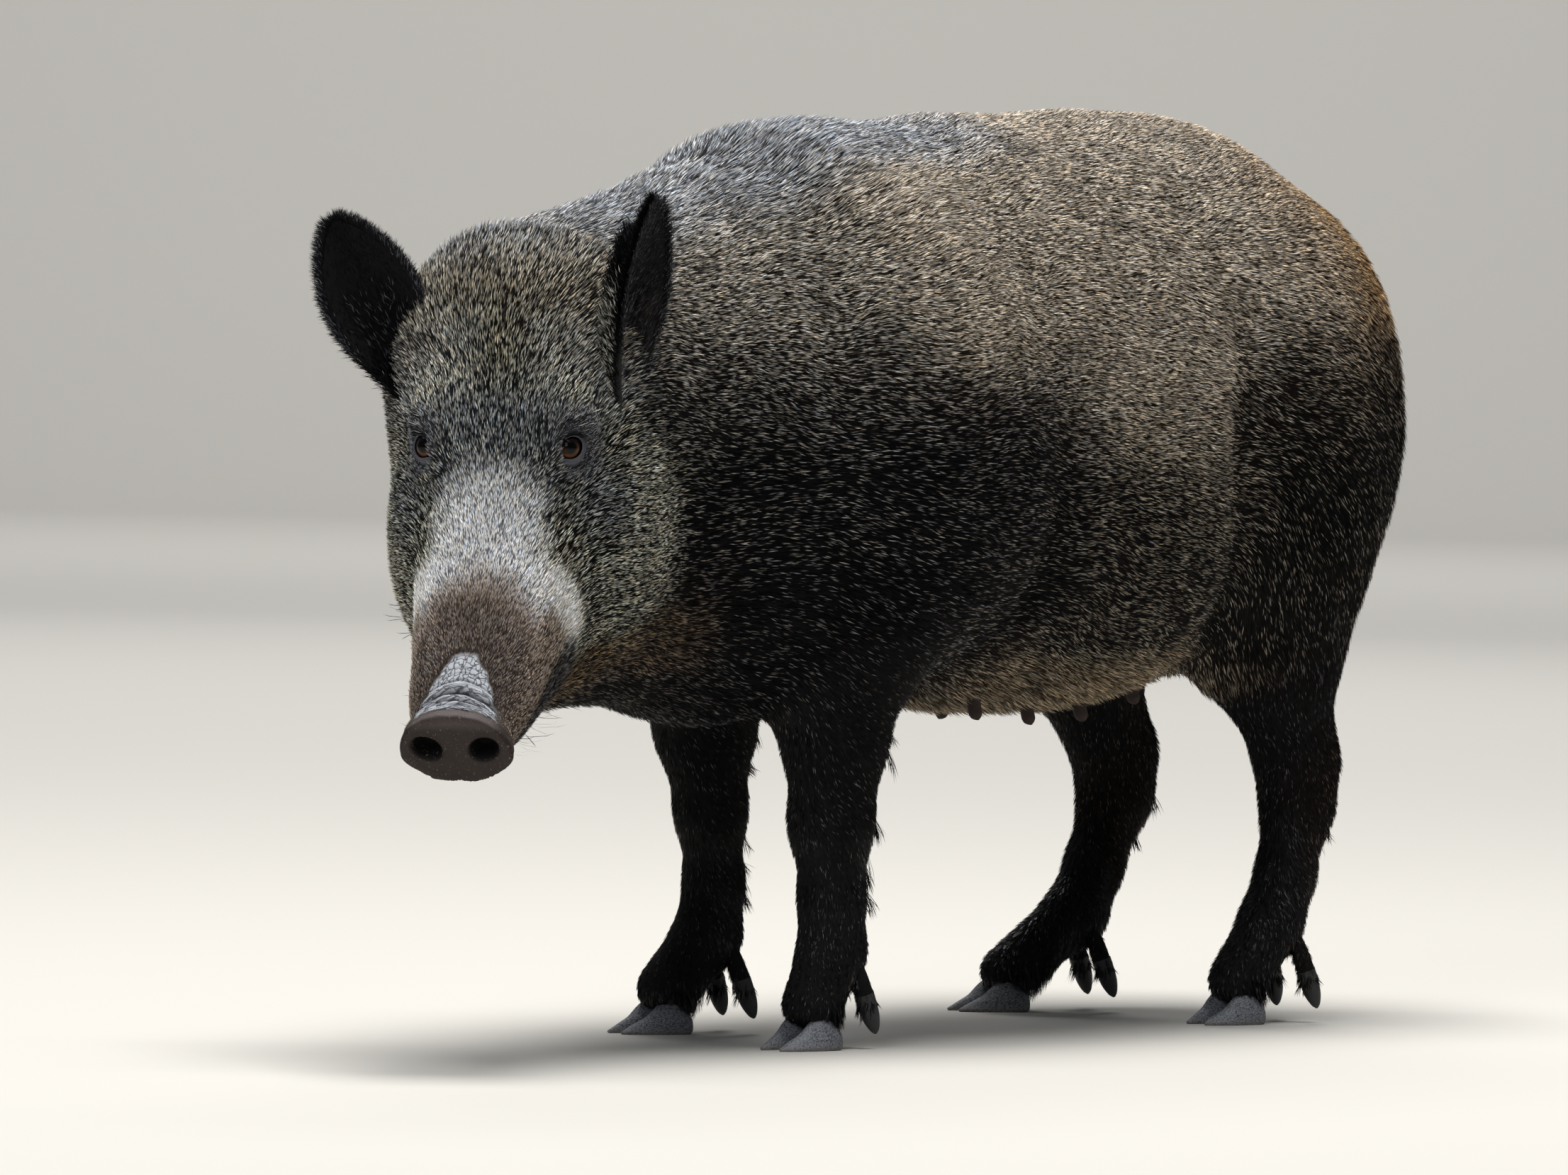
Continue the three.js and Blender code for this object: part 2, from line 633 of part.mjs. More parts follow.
// A claw's outline: pointed toe, round heel, flat inner side. It stands on its own sole at z = 0.
function clawSolid(frame, side) {
  const sides = 8;
  const levels = [
    { z: 0, front: 44, back: 20, half: 12 },
    { z: 7, front: 39, back: 22, half: 12.7 },
    { z: 16, front: 27, back: 20, half: 12 },
    { z: 24, front: 16, back: 17, half: 10.5 },
  ];
  const tilt = Math.tan(rad(CORONET.slope));
  const rings = levels.map(({ z, front: f, back: b, half }, r) =>
    Array.from({ length: sides }, (_, i) => {
      const a = (2 * Math.PI * (i + 0.5)) / sides;
      const across = Math.sign(Math.cos(a)) * Math.abs(Math.cos(a)) ** 0.85;
      const along = Math.sin(a) > 0 ? -f * Math.sin(a) ** 1.15 : b * Math.abs(Math.sin(a)) ** 0.8;
      const inner = across * side < 0 ? 0.85 : 1;
      const lift = r === levels.length - 1 ? -along * tilt : 0;
      return moved(frame)(side * CLAW_SPREAD + across * half * inner, along, z + lift);
    }),
  );
  return loftSolid(rings);
}

// The small claw that hangs behind the fetlock.
function dewclawSolid(frame, side, extra = 0) {
  const drops = [0, 0.35, 0.72, 1];
  const spine = drops.map((t) =>
    moved(frame)(side * (DEWCLAW.side + 5 * t), DEWCLAW.back + 16 * t, DEWCLAW.up - t * DEWCLAW.length),
  );
  const radii = [0.9, 1, 0.85, 0.35].map((k) => k * DEWCLAW.radius);
  return tubeSolid(spine, radii, 6, extra);
}

const band = (from, to) => boxSolid([-WIDE, -900, from], [WIDE, 900, to]);
for (const [name, leg] of Object.entries(LEGS)) {
  const [fx, fy] = leg.foot;
  const side = Math.sign(fx);
  const fore = name.startsWith("fore");
  const tag = `${fore ? "fore" : "hind"}_${side > 0 ? "left" : "right"}`;
  const low = [side > 0 ? -28 : -240, fy - 220, 50];
  const high = [side > 0 ? 240 : 28, fy + 290, fore ? FORE_CUT + 45 : 490];
  const legAll = solidOf(netMesh(flesh, FLAT, low, high, LEG_CELL));
  const upper = legAll.intersect(fore ? forelegBlock(side, 0) : thighBlock(side, 0));
  addNode(`${fore ? "forearm" : "thigh"}_${tag}`, upper.intersect(band(leg.knee, 900)), DARK_COAT);
  addNode(`cannon_${tag}`, upper.intersect(band(FOOT_TOP, leg.knee - GAP)), DARK_COAT);

  const spin = new THREE.Matrix4().makeRotationZ(rad(-leg.turn));
  const fetlock = new THREE.Matrix4().makeTranslation(fx, fy, 0).multiply(spin);
  const crownBack = leg.joints[leg.joints.length - 1].back;
  const toes = turned(leg, crownBack - leg.reach);
  const sole = new THREE.Matrix4().makeTranslation(...toes, 0).multiply(spin);
  const crown = sole
    .clone()
    .multiply(new THREE.Matrix4().makeTranslation(0, 0, CORONET.height))
    .multiply(new THREE.Matrix4().makeRotationX(rad(-CORONET.slope)));
  const lowFoot = [side > 0 ? 20 : -190, fy - 150, 2];
  const highFoot = [side > 0 ? 190 : -20, fy + 100, FOOT_TOP + 16];
  let foot = solidOf(netMesh(flesh, FLAT, lowFoot, highFoot, FOOT_CELL))
    .intersect(boxSolid([-90, -120, 0], [90, 200, 150], crown))
    .intersect(band(-50, FOOT_TOP - GAP));
  for (const half of [-1, 1]) {
    const which = `${tag}_${half * side > 0 ? "outer" : "inner"}`;
    foot = foot.subtract(dewclawSolid(fetlock, half, GAP));
    addNode(`dewclaw_${which}`, dewclawSolid(fetlock, half), HORN);
    addNode(`claw_${which}`, clawSolid(sole, half), HORN);
  }
  addNode(`foot_${tag}`, foot, DARK_COAT);
}

export default boar;
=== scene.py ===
# %% [markdown]
# # A wild sow, life size
#
# The solids of this model give her true outline, out to the tips of the bristles. This script gives her
# looks. One skin is made a little inside those solids, by the depth of the coat, and the coat itself is
# many thin tufts of real mesh that grow out of the skin and lie along the body. Eyes and claws are pieces
# of their own. Everything is in metres at the end, but an animal is easier to write in millimetres, so the
# shapes below are in millimetres and one function turns them into mesh.

import json
import math
import time

import bmesh
import bpy
import numpy as np
from mathutils import Matrix, Vector
from mathutils.kdtree import KDTree

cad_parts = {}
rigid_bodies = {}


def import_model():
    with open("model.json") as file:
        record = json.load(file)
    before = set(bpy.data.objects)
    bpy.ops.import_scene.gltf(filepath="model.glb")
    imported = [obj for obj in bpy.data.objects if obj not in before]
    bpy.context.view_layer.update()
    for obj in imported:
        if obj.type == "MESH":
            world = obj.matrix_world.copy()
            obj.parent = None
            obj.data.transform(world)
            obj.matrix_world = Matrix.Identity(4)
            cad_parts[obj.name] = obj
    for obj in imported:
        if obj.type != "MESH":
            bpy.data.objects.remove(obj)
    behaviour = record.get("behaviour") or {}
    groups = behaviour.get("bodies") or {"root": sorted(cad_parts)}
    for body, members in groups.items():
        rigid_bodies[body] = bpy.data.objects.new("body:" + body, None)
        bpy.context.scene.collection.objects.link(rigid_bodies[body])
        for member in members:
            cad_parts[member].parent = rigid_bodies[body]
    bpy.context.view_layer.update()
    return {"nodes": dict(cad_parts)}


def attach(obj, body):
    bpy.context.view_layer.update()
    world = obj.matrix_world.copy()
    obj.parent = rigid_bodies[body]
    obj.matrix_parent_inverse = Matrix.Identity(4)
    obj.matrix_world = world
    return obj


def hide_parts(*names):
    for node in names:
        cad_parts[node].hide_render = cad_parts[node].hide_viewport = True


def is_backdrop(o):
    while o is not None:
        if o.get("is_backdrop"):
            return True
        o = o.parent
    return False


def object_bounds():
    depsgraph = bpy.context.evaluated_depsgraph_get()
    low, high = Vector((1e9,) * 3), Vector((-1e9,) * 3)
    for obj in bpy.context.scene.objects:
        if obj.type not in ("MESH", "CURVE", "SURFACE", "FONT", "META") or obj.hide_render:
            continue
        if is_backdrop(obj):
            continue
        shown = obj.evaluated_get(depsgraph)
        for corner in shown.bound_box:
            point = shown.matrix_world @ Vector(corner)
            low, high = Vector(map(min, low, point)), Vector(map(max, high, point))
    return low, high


started = time.time()


def told(*words):
    """Prints what was made, and when."""
    print(*words, "at", round(time.time() - started, 1), "s")


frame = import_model()

# %% [markdown]
# ## One frame for the trunk, one for the head
#
# A body is simpler to describe standing straight. The trunk is written level and then leans forward by two
# degrees, so the croup stands above the withers. The head is written along its own axis: "side" goes to her
# left, "back" from the snout towards the poll, and "up" away from the chin.

# %% Frames
MM = 0.001
ORIGIN_SHIFT = np.array([0, 214.5, 0], np.float32)
LEAN = 2
LEAN_CENTRE = (0, -295, 0)
HEAD_YAW = 26
HEAD_PITCH = 37
SNOUT_CENTRE = (139, -868, 266)


def shift(x, y, z):
    m = np.eye(4)
    m[:3, 3] = x, y, z
    return m


def turn(axis, degrees):
    return np.array(Matrix.Rotation(math.radians(degrees), 4, axis))


def moved(m, p):
    m = np.asarray(m, np.float32)
    return p @ m[:3, :3].T + m[:3, 3]


lean = shift(*LEAN_CENTRE) @ turn("X", LEAN) @ shift(*[-v for v in LEAN_CENTRE])
level_head = shift(*SNOUT_CENTRE) @ turn("Z", HEAD_YAW) @ turn("X", HEAD_PITCH)
head_frame = lean @ level_head
to_upright = np.linalg.inv(lean)
to_head = np.linalg.inv(head_frame)
print("snout centre stands at", moved(head_frame, np.zeros((1, 3)))[0].round(1))

# %% [markdown]
# ## Shapes as distances
#
# Each muscle, limb or length of trunk is a function that gives the distance from any point to its surface,
# less than 0 inside. Blending such functions with a soft minimum joins the shapes as flesh does, with no
# seam. numpy works on all the points at once, which keeps this quick.

# %% Blending, curves and simple forms
CELL_CORNERS = [(i, j, k) for i in (0, 1) for j in (0, 1) for k in (0, 1)]


def smooth_min(a, b, k):
    h = np.maximum(k - np.abs(a - b), 0) / k
    return np.minimum(a, b) - h * h * k / 4


def smooth_max(a, b, k):
    return -smooth_min(-a, -b, k)


def rise(x, low, high):
    """0 before low, 1 after high, and smooth between. With low above high it falls instead."""
    t = np.clip((x - low) / (high - low), 0, 1)
    return t * t * (3 - 2 * t)


def curve_through(at, values):
    """A smooth curve through values at the stations, with level ends."""
    at, y = np.array(at, np.float32), np.array(values, np.float32)
    slope = np.zeros_like(y)
    slope[1:-1] = (y[2:] - y[:-2]) / (at[2:] - at[:-2])

    def curve(t):
        i = np.clip(np.searchsorted(at, t) - 1, 0, len(at) - 2)
        w = at[i + 1] - at[i]
        u = np.clip((t - at[i]) / w, 0, 1)
        u2, u3 = u * u, u * u * u
        ends = y[i] * (2 * u3 - 3 * u2 + 1) + y[i + 1] * (3 * u2 - 2 * u3)
        return ends + slope[i] * w * (u3 - 2 * u2 + u) + slope[i + 1] * w * (u3 - u2)

    return curve


def sweep(stations, power):
    """A length of body with a top, middle, low line and half width at each station."""
    at, *rows = zip(*stations)
    top, mid, low, half = (curve_through(at, row) for row in rows)

    def shape(side, along, up):
        m = mid(along)
        v = up - m
        b = np.where(v > 0, top(along) - m, m - low(along))
        rho = np.maximum(np.hypot(side, v), 1e-3)
        q = (np.abs(side / half(along)) ** power + np.abs(v / b) ** power) ** (1 / power)
        wall = rho * (1 - 1 / np.maximum(q, 1e-6))
        return np.maximum(wall, np.maximum(at[0] - along, along - at[-1]))

    return shape


def ball(centre, radii, tilt=0):
    c, s = math.cos(math.radians(tilt)), math.sin(math.radians(tilt))

    def shape(x, y, z):
        dx, dy, dz = x - centre[0], y - centre[1], z - centre[2]
        ty, tz = dy * c - dz * s, dy * s + dz * c
        q = [dx / radii[0], ty / radii[1], tz / radii[2]]
        k0 = np.sqrt(q[0] ** 2 + q[1] ** 2 + q[2] ** 2)
        k1 = np.sqrt((q[0] / radii[0]) ** 2 + (q[1] / radii[1]) ** 2 + (q[2] / radii[2]) ** 2)
        return k0 * (k0 - 1) / np.maximum(k1, 1e-9)

    return shape


def limb(a, b, ra, rb, flat=1.0):
    d = [(b[0] - a[0]) / flat, b[1] - a[1], b[2] - a[2]]
    dd = d[0] ** 2 + d[1] ** 2 + d[2] ** 2

    def shape(x, y, z):
        px, py, pz = (x - a[0]) / flat, y - a[1], z - a[2]
        t = np.clip((px * d[0] + py * d[1] + pz * d[2]) / dd, 0, 1)
        reach = np.sqrt((px - d[0] * t) ** 2 + (py - d[1] * t) ** 2 + (pz - d[2] * t) ** 2)
        return (reach - ra - (rb - ra) * t) * min(1, flat)

    return shape


# %% [markdown]
# ## Her measurements
#
# The head and trunk are swept along their length, and muscles are added as tilted balls. Each leg is a
# chain of joints from the body down to the top of the claws. These are the same sizes that the solids have.

# %% Head, trunk and legs
EYE_SIDE, EYE_BACK, EYE_UP, EYE_RADIUS = 52, 257, 84, 12.5
HEAD_STATIONS = [  # back, top, middle, low, half width
    (0, 33, -5, -31, 43), (10, 34, -5, -31, 44), (24, 29, -4, -36, 40), (60, 33, -8, -50, 47),
    (110, 42, -14, -70, 54), (160, 56, -20, -92, 62), (205, 76, -24, -112, 71), (256, 108, -18, -124, 82),
    (310, 136, 0, -126, 93), (370, 156, 10, -110, 98), (420, 158, 20, -80, 96),
]
TRUNK_STATIONS = [  # along, top, middle, low, half width
    (-400, 652, 480, 360, 110), (-340, 700, 475, 305, 150), (-250, 725, 465, 285, 172),
    (-120, 733, 455, 262, 184), (10, 735, 450, 250, 191), (120, 736, 455, 258, 191),
    (240, 719, 480, 310, 182), (340, 655, 490, 360, 150),
]
head_sweep = sweep(HEAD_STATIONS, 2.2)
trunk_sweep = sweep(TRUNK_STATIONS, 2.15)
BOTH = (1, -1)
cheeks = [ball((s * 52, 285, -30), (50, 72, 72)) for s in BOTH]
brows = [ball((s * 47, 268, 92), (26, 36, 20), -20) for s in BOTH]
sockets = [ball((s * (EYE_SIDE + 14), EYE_BACK - 10, EYE_UP), (16, 18, 13)) for s in BOTH]
nape, throat = moved(level_head, np.array([[0, 400, 40], [0, 262, -86]], np.float32))
muscles = [
    (ball((0, 235, 512), (180, 232, 194)), 50),  # croup
    (ball((0, -395, 392), (118, 122, 128)), 70),  # brisket
    (limb((0, -300, 552), nape, 160, 120, 0.95), 60),  # crest of the neck
    (limb((0, -395, 398), throat, 126, 78), 60),  # dewlap
    *[(ball((s * 92, -265, 470), (92, 120, 190), 12), 60) for s in BOTH],  # shoulders
    *[(ball((s * 92, 246, 442), (92, 138, 188), -6), 60) for s in BOTH],  # thighs
]
LEGS = {  # foot x, foot y, toes turned to her right, reach of the toes, (up, back, radius) down the leg
    "fore_left": (92, -336, 6, 3, [(400, 10, 74), (310, 6, 60), (250, -2, 49), (180, -5, 38),
                                   (120, -2, 29), (78, 0, 29), (36, -22, 27)]),
    "fore_right": (-92, -252, 20, 5, [(400, -20, 74), (310, -20, 64), (250, -14, 48), (180, -4, 33),
                                      (120, 2, 27), (80, -4, 29), (36, -41, 27)]),
    "hind_left": (98, 268, 9, 4, [(400, -45, 92), (300, -10, 58), (215, 26, 39), (180, 28, 34),
                                  (120, 12, 27), (84, -6, 28), (36, -44, 27)]),
    "hind_right": (-98, 255, 26, 6, [(400, -30, 92), (300, 0, 58), (215, 54, 40), (180, 56, 35),
                                     (120, 28, 27), (82, 4, 28), (32, -62, 25)]),
}
LEG_FLAT = 0.86


def turned_at(leg, back):
    s, c = math.sin(math.radians(leg[2])), math.cos(math.radians(leg[2]))
    return leg[0] + s * back, leg[1] + c * back


def leg_limbs(leg):
    joints = leg[4]
    at = [(leg[0] * (0.95 if up > 350 else 1), leg[1] + back, up) for up, back, _ in joints]
    at[-1] = (*turned_at(leg, joints[-1][1]), joints[-1][0])
    radii = [r for _, _, r in joints]
    return [limb(at[i], at[i + 1], radii[i], radii[i + 1], LEG_FLAT) for i in range(len(at) - 1)]


leg_chains = {name: leg_limbs(leg) for name, leg in LEGS.items()}
print("muscles:", len(muscles), "legs:", list(leg_chains))

# %% The distance to torso, head and legs
FAR = np.float32(1e4)


def head_distance(p):
    side, back, up = moved(to_head, p).T
    d = head_sweep(side, back, up)
    for shape in cheeks:
        d = smooth_min(d, shape(side, back, up), 40)
    for shape in brows:
        d = smooth_min(d, shape(side, back, up), 22)
    for shape in sockets:
        d = smooth_max(d, -shape(side, back, up), 14)
    return np.where(back < -60, -back, d)


def torso_distance(p):
    x, y, z = moved(to_upright, p).T
    d = trunk_sweep(x, y, z)
    for shape, k in muscles:
        d = smooth_min(d, shape(x, y, z), k)
    return d


def leg_distance(p, name):
    d = np.full(len(p), FAR)
    near = np.abs(p - np.array([LEGS[name][0], LEGS[name][1], 240])).max(1) < 250
    x, y, z = p[near].T
    reach = np.full(len(x), FAR)
    for shape in leg_chains[name]:
        reach = smooth_min(reach, shape(x, y, z), 14)
    d[near] = reach
    return d


def flesh_parts(p):
    """Distances to the torso, the head, the nearest leg, and all of them blended into one body."""
    torso, head = torso_distance(p), head_distance(p)
    body, leg = smooth_min(torso, head, 45), np.full(len(p), FAR)
    for name in LEGS:
        one = leg_distance(p, name)
        body, leg = smooth_min(body, one, 40), np.minimum(leg, one)
    return torso, head, leg, body

# %% [markdown]
# ## How deep the coat is
#
# The solids reach out to the tips of the bristles, so the skin has to lie inside them by the depth of the
# coat: most of a centimetre on the trunk, a few millimetres on the face, and almost nothing on the snout
# disc and the feet. One smooth function of place gives that depth, and the skin is where the distance to
# the solids' surface equals it. Each leg ends a little under the tops of its claws, at a plane that slopes
# down towards the heel as the upper edge of a claw does.

# %% Depth of the coat
head_depth = curve_through([-20, 14, 60, 165, 260, 330, 420], [1.3, 1.4, 2.2, 3.2, 4.2, 6.0, 8.5])
leg_depth = curve_through([10, 60, 120, 200, 300, 400], [0.8, 1.6, 2.6, 3.8, 5.2, 6.5])


def foot_frames(leg):
    """Where the fetlock and the sole of a leg are, turned with its toes."""
    spin = turn("Z", -leg[2])
    return shift(leg[0], leg[1], 0) @ spin, shift(*turned_at(leg, leg[4][-1][1] - leg[3]), 0) @ spin


SOLES = [np.linalg.inv(foot_frames(leg)[1]) for leg in LEGS.values()]
CORONET_HEIGHT, CORONET_SLOPE = 17, math.radians(20)


def in_foot(p):
    """Points in the frame of the foot nearest to each: x across, y back, z up from the sole."""
    local = np.stack([moved(m, p) for m in SOLES])
    nearest = np.abs(local[..., :2]).sum(-1).argmin(0)
    return local[nearest, np.arange(len(p))]


def below_coronet(p):
    """How far a point lies under the tops of the claws, for points low down on a leg."""
    low = p[:, 2] < 60
    out = np.full(len(p), -FAR)
    foot = in_foot(p[low])
    above = (foot[:, 2] - CORONET_HEIGHT) * math.cos(CORONET_SLOPE) + foot[:, 1] * math.sin(CORONET_SLOPE)
    out[low] = -above
    return out


def from_eye(side, back, up, outside=0):
    """Distance from the middle of the nearer eye, or from a place this far outside it."""
    return np.sqrt((np.abs(side) - EYE_SIDE - outside) ** 2 + (back - EYE_BACK) ** 2 + (up - EYE_UP) ** 2)


def shares(p, torso, head, leg):
    """How far a point belongs to the head and to a leg, from 0 to 1."""
    on_head = rise(torso - head, -25, 25)
    on_leg = rise(torso - leg, -20, 10) * rise(p[:, 2], 400, 320)
    return on_head, on_leg


def shares_at(p):
    torso, head, leg, _ = flesh_parts(p)
    return shares(p, torso, head, leg)


def coat_depth(p, torso, head, leg):
    on_head, on_leg = shares(p, torso, head, leg)
    side, back, up = moved(to_head, p).T
    face = head_depth(back) * (0.3 + 0.7 * rise(from_eye(side, back, up, 6), 14, 40))
    trunk = 6.0 + 2.0 * rise(p[:, 2], 560, 680) * rise(p[:, 1], -100, -300)
    depth = trunk + (face - trunk) * on_head
    return depth + (leg_depth(p[:, 2]) - depth) * on_leg


def skin_distance(p):
    torso, head, leg, body = flesh_parts(p)
    return smooth_max(body + coat_depth(p, torso, head, leg), below_coronet(p), 6)


print("coat over snout and poll:", head_depth(14).round(1), "and", head_depth(400).round(1), "mm")

# %% [markdown]
# ## A skin from the distance
#
# A net is stretched over the places where the distance changes sign: one vertex in each small cell that the
# surface crosses, and one face round each crossed edge. Most of the box is empty, so a coarse grid finds
# the blocks near the surface first and only those are worked out finely. Newton steps then pull each vertex
# onto the true surface.

# %% Net the surface
BLOCK = 4
CELL = 6.2
LOW = np.array([-232, -930, 4], np.float32)
HIGH = np.array([232, 500, 800], np.float32)


def filled_grid(distance, low, high, cell):
    blocks = np.ceil((high - low) / (cell * BLOCK)).astype(int)
    corner = np.stack(np.meshgrid(*[np.arange(n + 1) for n in blocks], indexing="ij"), -1).reshape(-1, 3)
    coarse = distance((low + corner * cell * BLOCK).astype(np.float32)).reshape(*(blocks + 1))
    small = np.abs(coarse) < 1.5 * cell * BLOCK
    near = np.zeros(blocks, bool)
    for i, j, k in CELL_CORNERS:
        near |= small[i:i + blocks[0], j:j + blocks[1], k:k + blocks[2]]
    grid = coarse[:-1, :-1, :-1]
    for axis in range(3):
        grid = np.repeat(grid, BLOCK, axis)
    grid = grid.copy()
    start = np.argwhere(near) * BLOCK
    step = np.stack(np.meshgrid(*[np.arange(BLOCK)] * 3, indexing="ij"), -1).reshape(-1, 3)
    index = (start[:, None] + step[None]).reshape(-1, 3)
    grid[tuple(index.T)] = distance((low + index * cell).astype(np.float32))
    return grid


def net(grid, low, cell):
    """Surface nets: points in millimetres and four-cornered faces."""
    inside = grid < 0
    cells = np.array(grid.shape) - 1
    count = np.zeros(cells, np.int8)
    for i, j, k in CELL_CORNERS:
        count += inside[i:i + cells[0], j:j + cells[1], k:k + cells[2]]
    place = np.argwhere((count > 0) & (count < 8))
    total, crossings = np.zeros((len(place), 3)), np.zeros(len(place))
    for a in CELL_CORNERS:
        for axis in range(3):
            if a[axis]:
                continue
            b = list(a)
            b[axis] = 1
            da = grid[tuple((place + a).T)]
            db = grid[tuple((place + b).T)]
            hit = (da < 0) != (db < 0)
            t = np.where(hit, da / np.where(hit, da - db, 1), 0)
            total += hit[:, None] * np.array(a, float)
            total[:, axis] += hit * t
            crossings += hit
    points = low + (place + total / crossings[:, None]) * cell
    number = np.full(cells, -1)
    number[tuple(place.T)] = np.arange(len(place))
    faces = []
    for axis in range(3):
        u, v = (axis + 1) % 3, (axis + 2) % 3
        here = [slice(1, n) for n in cells]
        here[axis] = slice(0, cells[axis])
        there = list(here)
        there[axis] = slice(1, cells[axis] + 1)
        a, b = inside[tuple(here)], inside[tuple(there)]
        at = np.argwhere(a != b)
        flip = ~a[tuple(at.T)]
        at += [s.start for s in here]

        def beside(du, dv):
            q = at.copy()
            q[:, u] -= du
            q[:, v] -= dv
            return number[tuple(q.T)]

        quad = np.stack([beside(1, 1), beside(0, 1), beside(0, 0), beside(1, 0)], 1)
        quad[flip] = quad[flip][:, ::-1]
        faces.append(quad)
    return points.astype(np.float32), np.concatenate(faces)


def slope_of(distance, p, step=1.0):
    """The direction in which the distance grows, as unit vectors."""
    parts = []
    for axis in range(3):
        d = np.zeros(3, np.float32)
        d[axis] = step
        parts.append(distance(p + d) - distance(p - d))
    g = np.stack(parts, 1)
    return g / np.maximum(np.linalg.norm(g, axis=1), 1e-6)[:, None]


def settle(p, rounds):
    for _ in range(rounds):
        p = p - (np.clip(skin_distance(p), -6, 6)[:, None] * slope_of(skin_distance, p)).astype(np.float32)
    return p


grid = filled_grid(skin_distance, LOW, HIGH, CELL)
skin_points, skin_faces = net(grid, LOW, CELL)
skin_points = settle(skin_points, 2)
told("skin:", len(skin_points), "points", len(skin_faces), "faces")

# %% [markdown]
# ## Finer where it matters
#
# The head, and more so the eyes and the snout, need smaller faces than the flank. Blender's own subdivide
# splits the edges of the chosen faces and stitches their neighbours, so the skin stays one closed sheet.


# %% Split the head's faces
def to_bmesh(points, faces):
    mesh = bpy.data.meshes.new("skin")
    mesh.from_pydata(points.tolist(), [], faces.tolist())
    bm = bmesh.new()
    bm.from_mesh(mesh)
    bpy.data.meshes.remove(mesh)
    return bm


def places(bm):
    return np.array([v.co[:] for v in bm.verts], np.float32)


def refine(bm, wanted):
    """Splits each edge whose two ends are wanted, and settles the new points on the surface."""
    bm.verts.ensure_lookup_table()
    chosen = wanted(places(bm))
    edges = [e for e in bm.edges if chosen[e.verts[0].index] and chosen[e.verts[1].index]]
    bmesh.ops.subdivide_edges(bm, edges=edges, cuts=1, use_grid_fill=True)
    bm.verts.ensure_lookup_table()
    bm.verts.index_update()
    p = places(bm)
    chosen = wanted(p)
    p[chosen] = settle(p[chosen], 2)
    for v, co in zip(bm.verts, p.tolist()):
        v.co = co
    return bm


def near_head(p):
    side, back, up = moved(to_head, p).T
    return (back < 390) & (np.abs(side) < 150) & (up > -150)


def near_features(p):
    side, back, up = moved(to_head, p).T
    return (from_eye(side, back, up) < 42) | ((back < 90) & (np.abs(side) < 100) & (np.abs(up) < 100))


def near_snout(p):
    side, back, up = moved(to_head, p).T
    return (back < 74) & (np.abs(side) < 50) & (up > np.where(back < 8, -45, 4))


bm = to_bmesh(skin_points, skin_faces)
for region in (near_head, near_features, near_snout):
    bm = refine(bm, region)
told("refined skin:", len(bm.verts), "points", len(bm.faces), "faces")

# %% [markdown]
# ## Noise and creases
#
# Living skin is never perfectly smooth. A small three-dimensional noise, made from one seeded block of
# random numbers, gives slow swells. Creases are grooves along short lines: before the shoulder, behind the
# elbow, in front of the thigh, behind the cheek, along the mouth and down from the inner corner of the eye.

# %% Noise and grooves
LATTICE_SIZE = 32
LATTICE = np.random.default_rng(5).random([LATTICE_SIZE] * 3).astype(np.float32)


def noise(p, size, offset=0.0):
    """Smooth noise from -1 to 1 whose swells are about this size in millimetres."""
    q = p / size + offset
    cell = np.floor(q).astype(int)
    f = q - cell
    f = f * f * (3 - 2 * f)
    value = 0
    for i, j, k in CELL_CORNERS:
        w = (f[:, 0] if i else 1 - f[:, 0]) * (f[:, 1] if j else 1 - f[:, 1])
        w = w * (f[:, 2] if k else 1 - f[:, 2])
        value = value + w * LATTICE[tuple(((cell + [i, j, k]) % LATTICE_SIZE).T)]
    return value * 2 - 1


def to_segment(p, a, b):
    a, b = np.array(a, np.float32), np.array(b, np.float32)
    d = b - a
    t = np.clip((p - a) @ d / (d @ d), 0, 1)
    return np.linalg.norm(p - a - t[:, None] * d, axis=1)


def bump(x, centre, width):
    return np.exp(-((x - centre) / width) ** 2)


def near_line(p, line, width):
    """1 on a line of points and on its mirror image, falling off within about this width."""
    q = np.abs(p * [1, 0, 0]) + p * [0, 1, 1]
    return bump(np.min([to_segment(q, a, b) for a, b in zip(line, line[1:])], axis=0), 0, width)


BODY_CREASES = [  # line, width, depth, in the upright trunk
    ([(176, 104, 560), (186, 92, 460), (172, 100, 380), (140, 118, 318)], 20, 7),  # before the thigh
    ([(168, -150, 470), (165, -148, 380), (140, -160, 310)], 18, 6),  # behind the elbow
    ([(150, -390, 560), (165, -350, 470), (150, -330, 380)], 26, 4),  # before the shoulder
]
MOUTH = [(44, 14, -26), (50, 60, -40), (58, 110, -54), (66, 160, -67)]
CHEEK_BACK = [(99, 398, 60), (98, 392, 0), (90, 384, -60)]
TEAR = [(49, 243, 74), (47, 222, 64), (50, 200, 50)]
FACE_CREASES = [(MOUTH, 3.2, 3.6), (CHEEK_BACK, 15, 7), (TEAR, 3.0, 2.0)]  # line, width, depth, in the head


def body_detail(p):
    q = moved(to_upright, p)
    out = 2.2 * noise(p, 90) + 0.8 * noise(p, 34, 7.3)
    for line, width, depth in BODY_CREASES:
        out = out - depth * near_line(q, line, width)
    return out


print("creases on the body:", len(BODY_CREASES), "and on the face:", len(FACE_CREASES))

# %% [markdown]
# ## The snout
#
# The disc is a flat shield of bare skin with a raised rim and two deep nostrils. Behind it the skin of the
# nose is thrown into folds when she works it: one broad fold arched across the nose with a deep crease in
# front of it, then finer wrinkles down to the rim. All of them follow the same arch, so they are ridges
# along one coordinate that counts how far back a point lies along that arch.

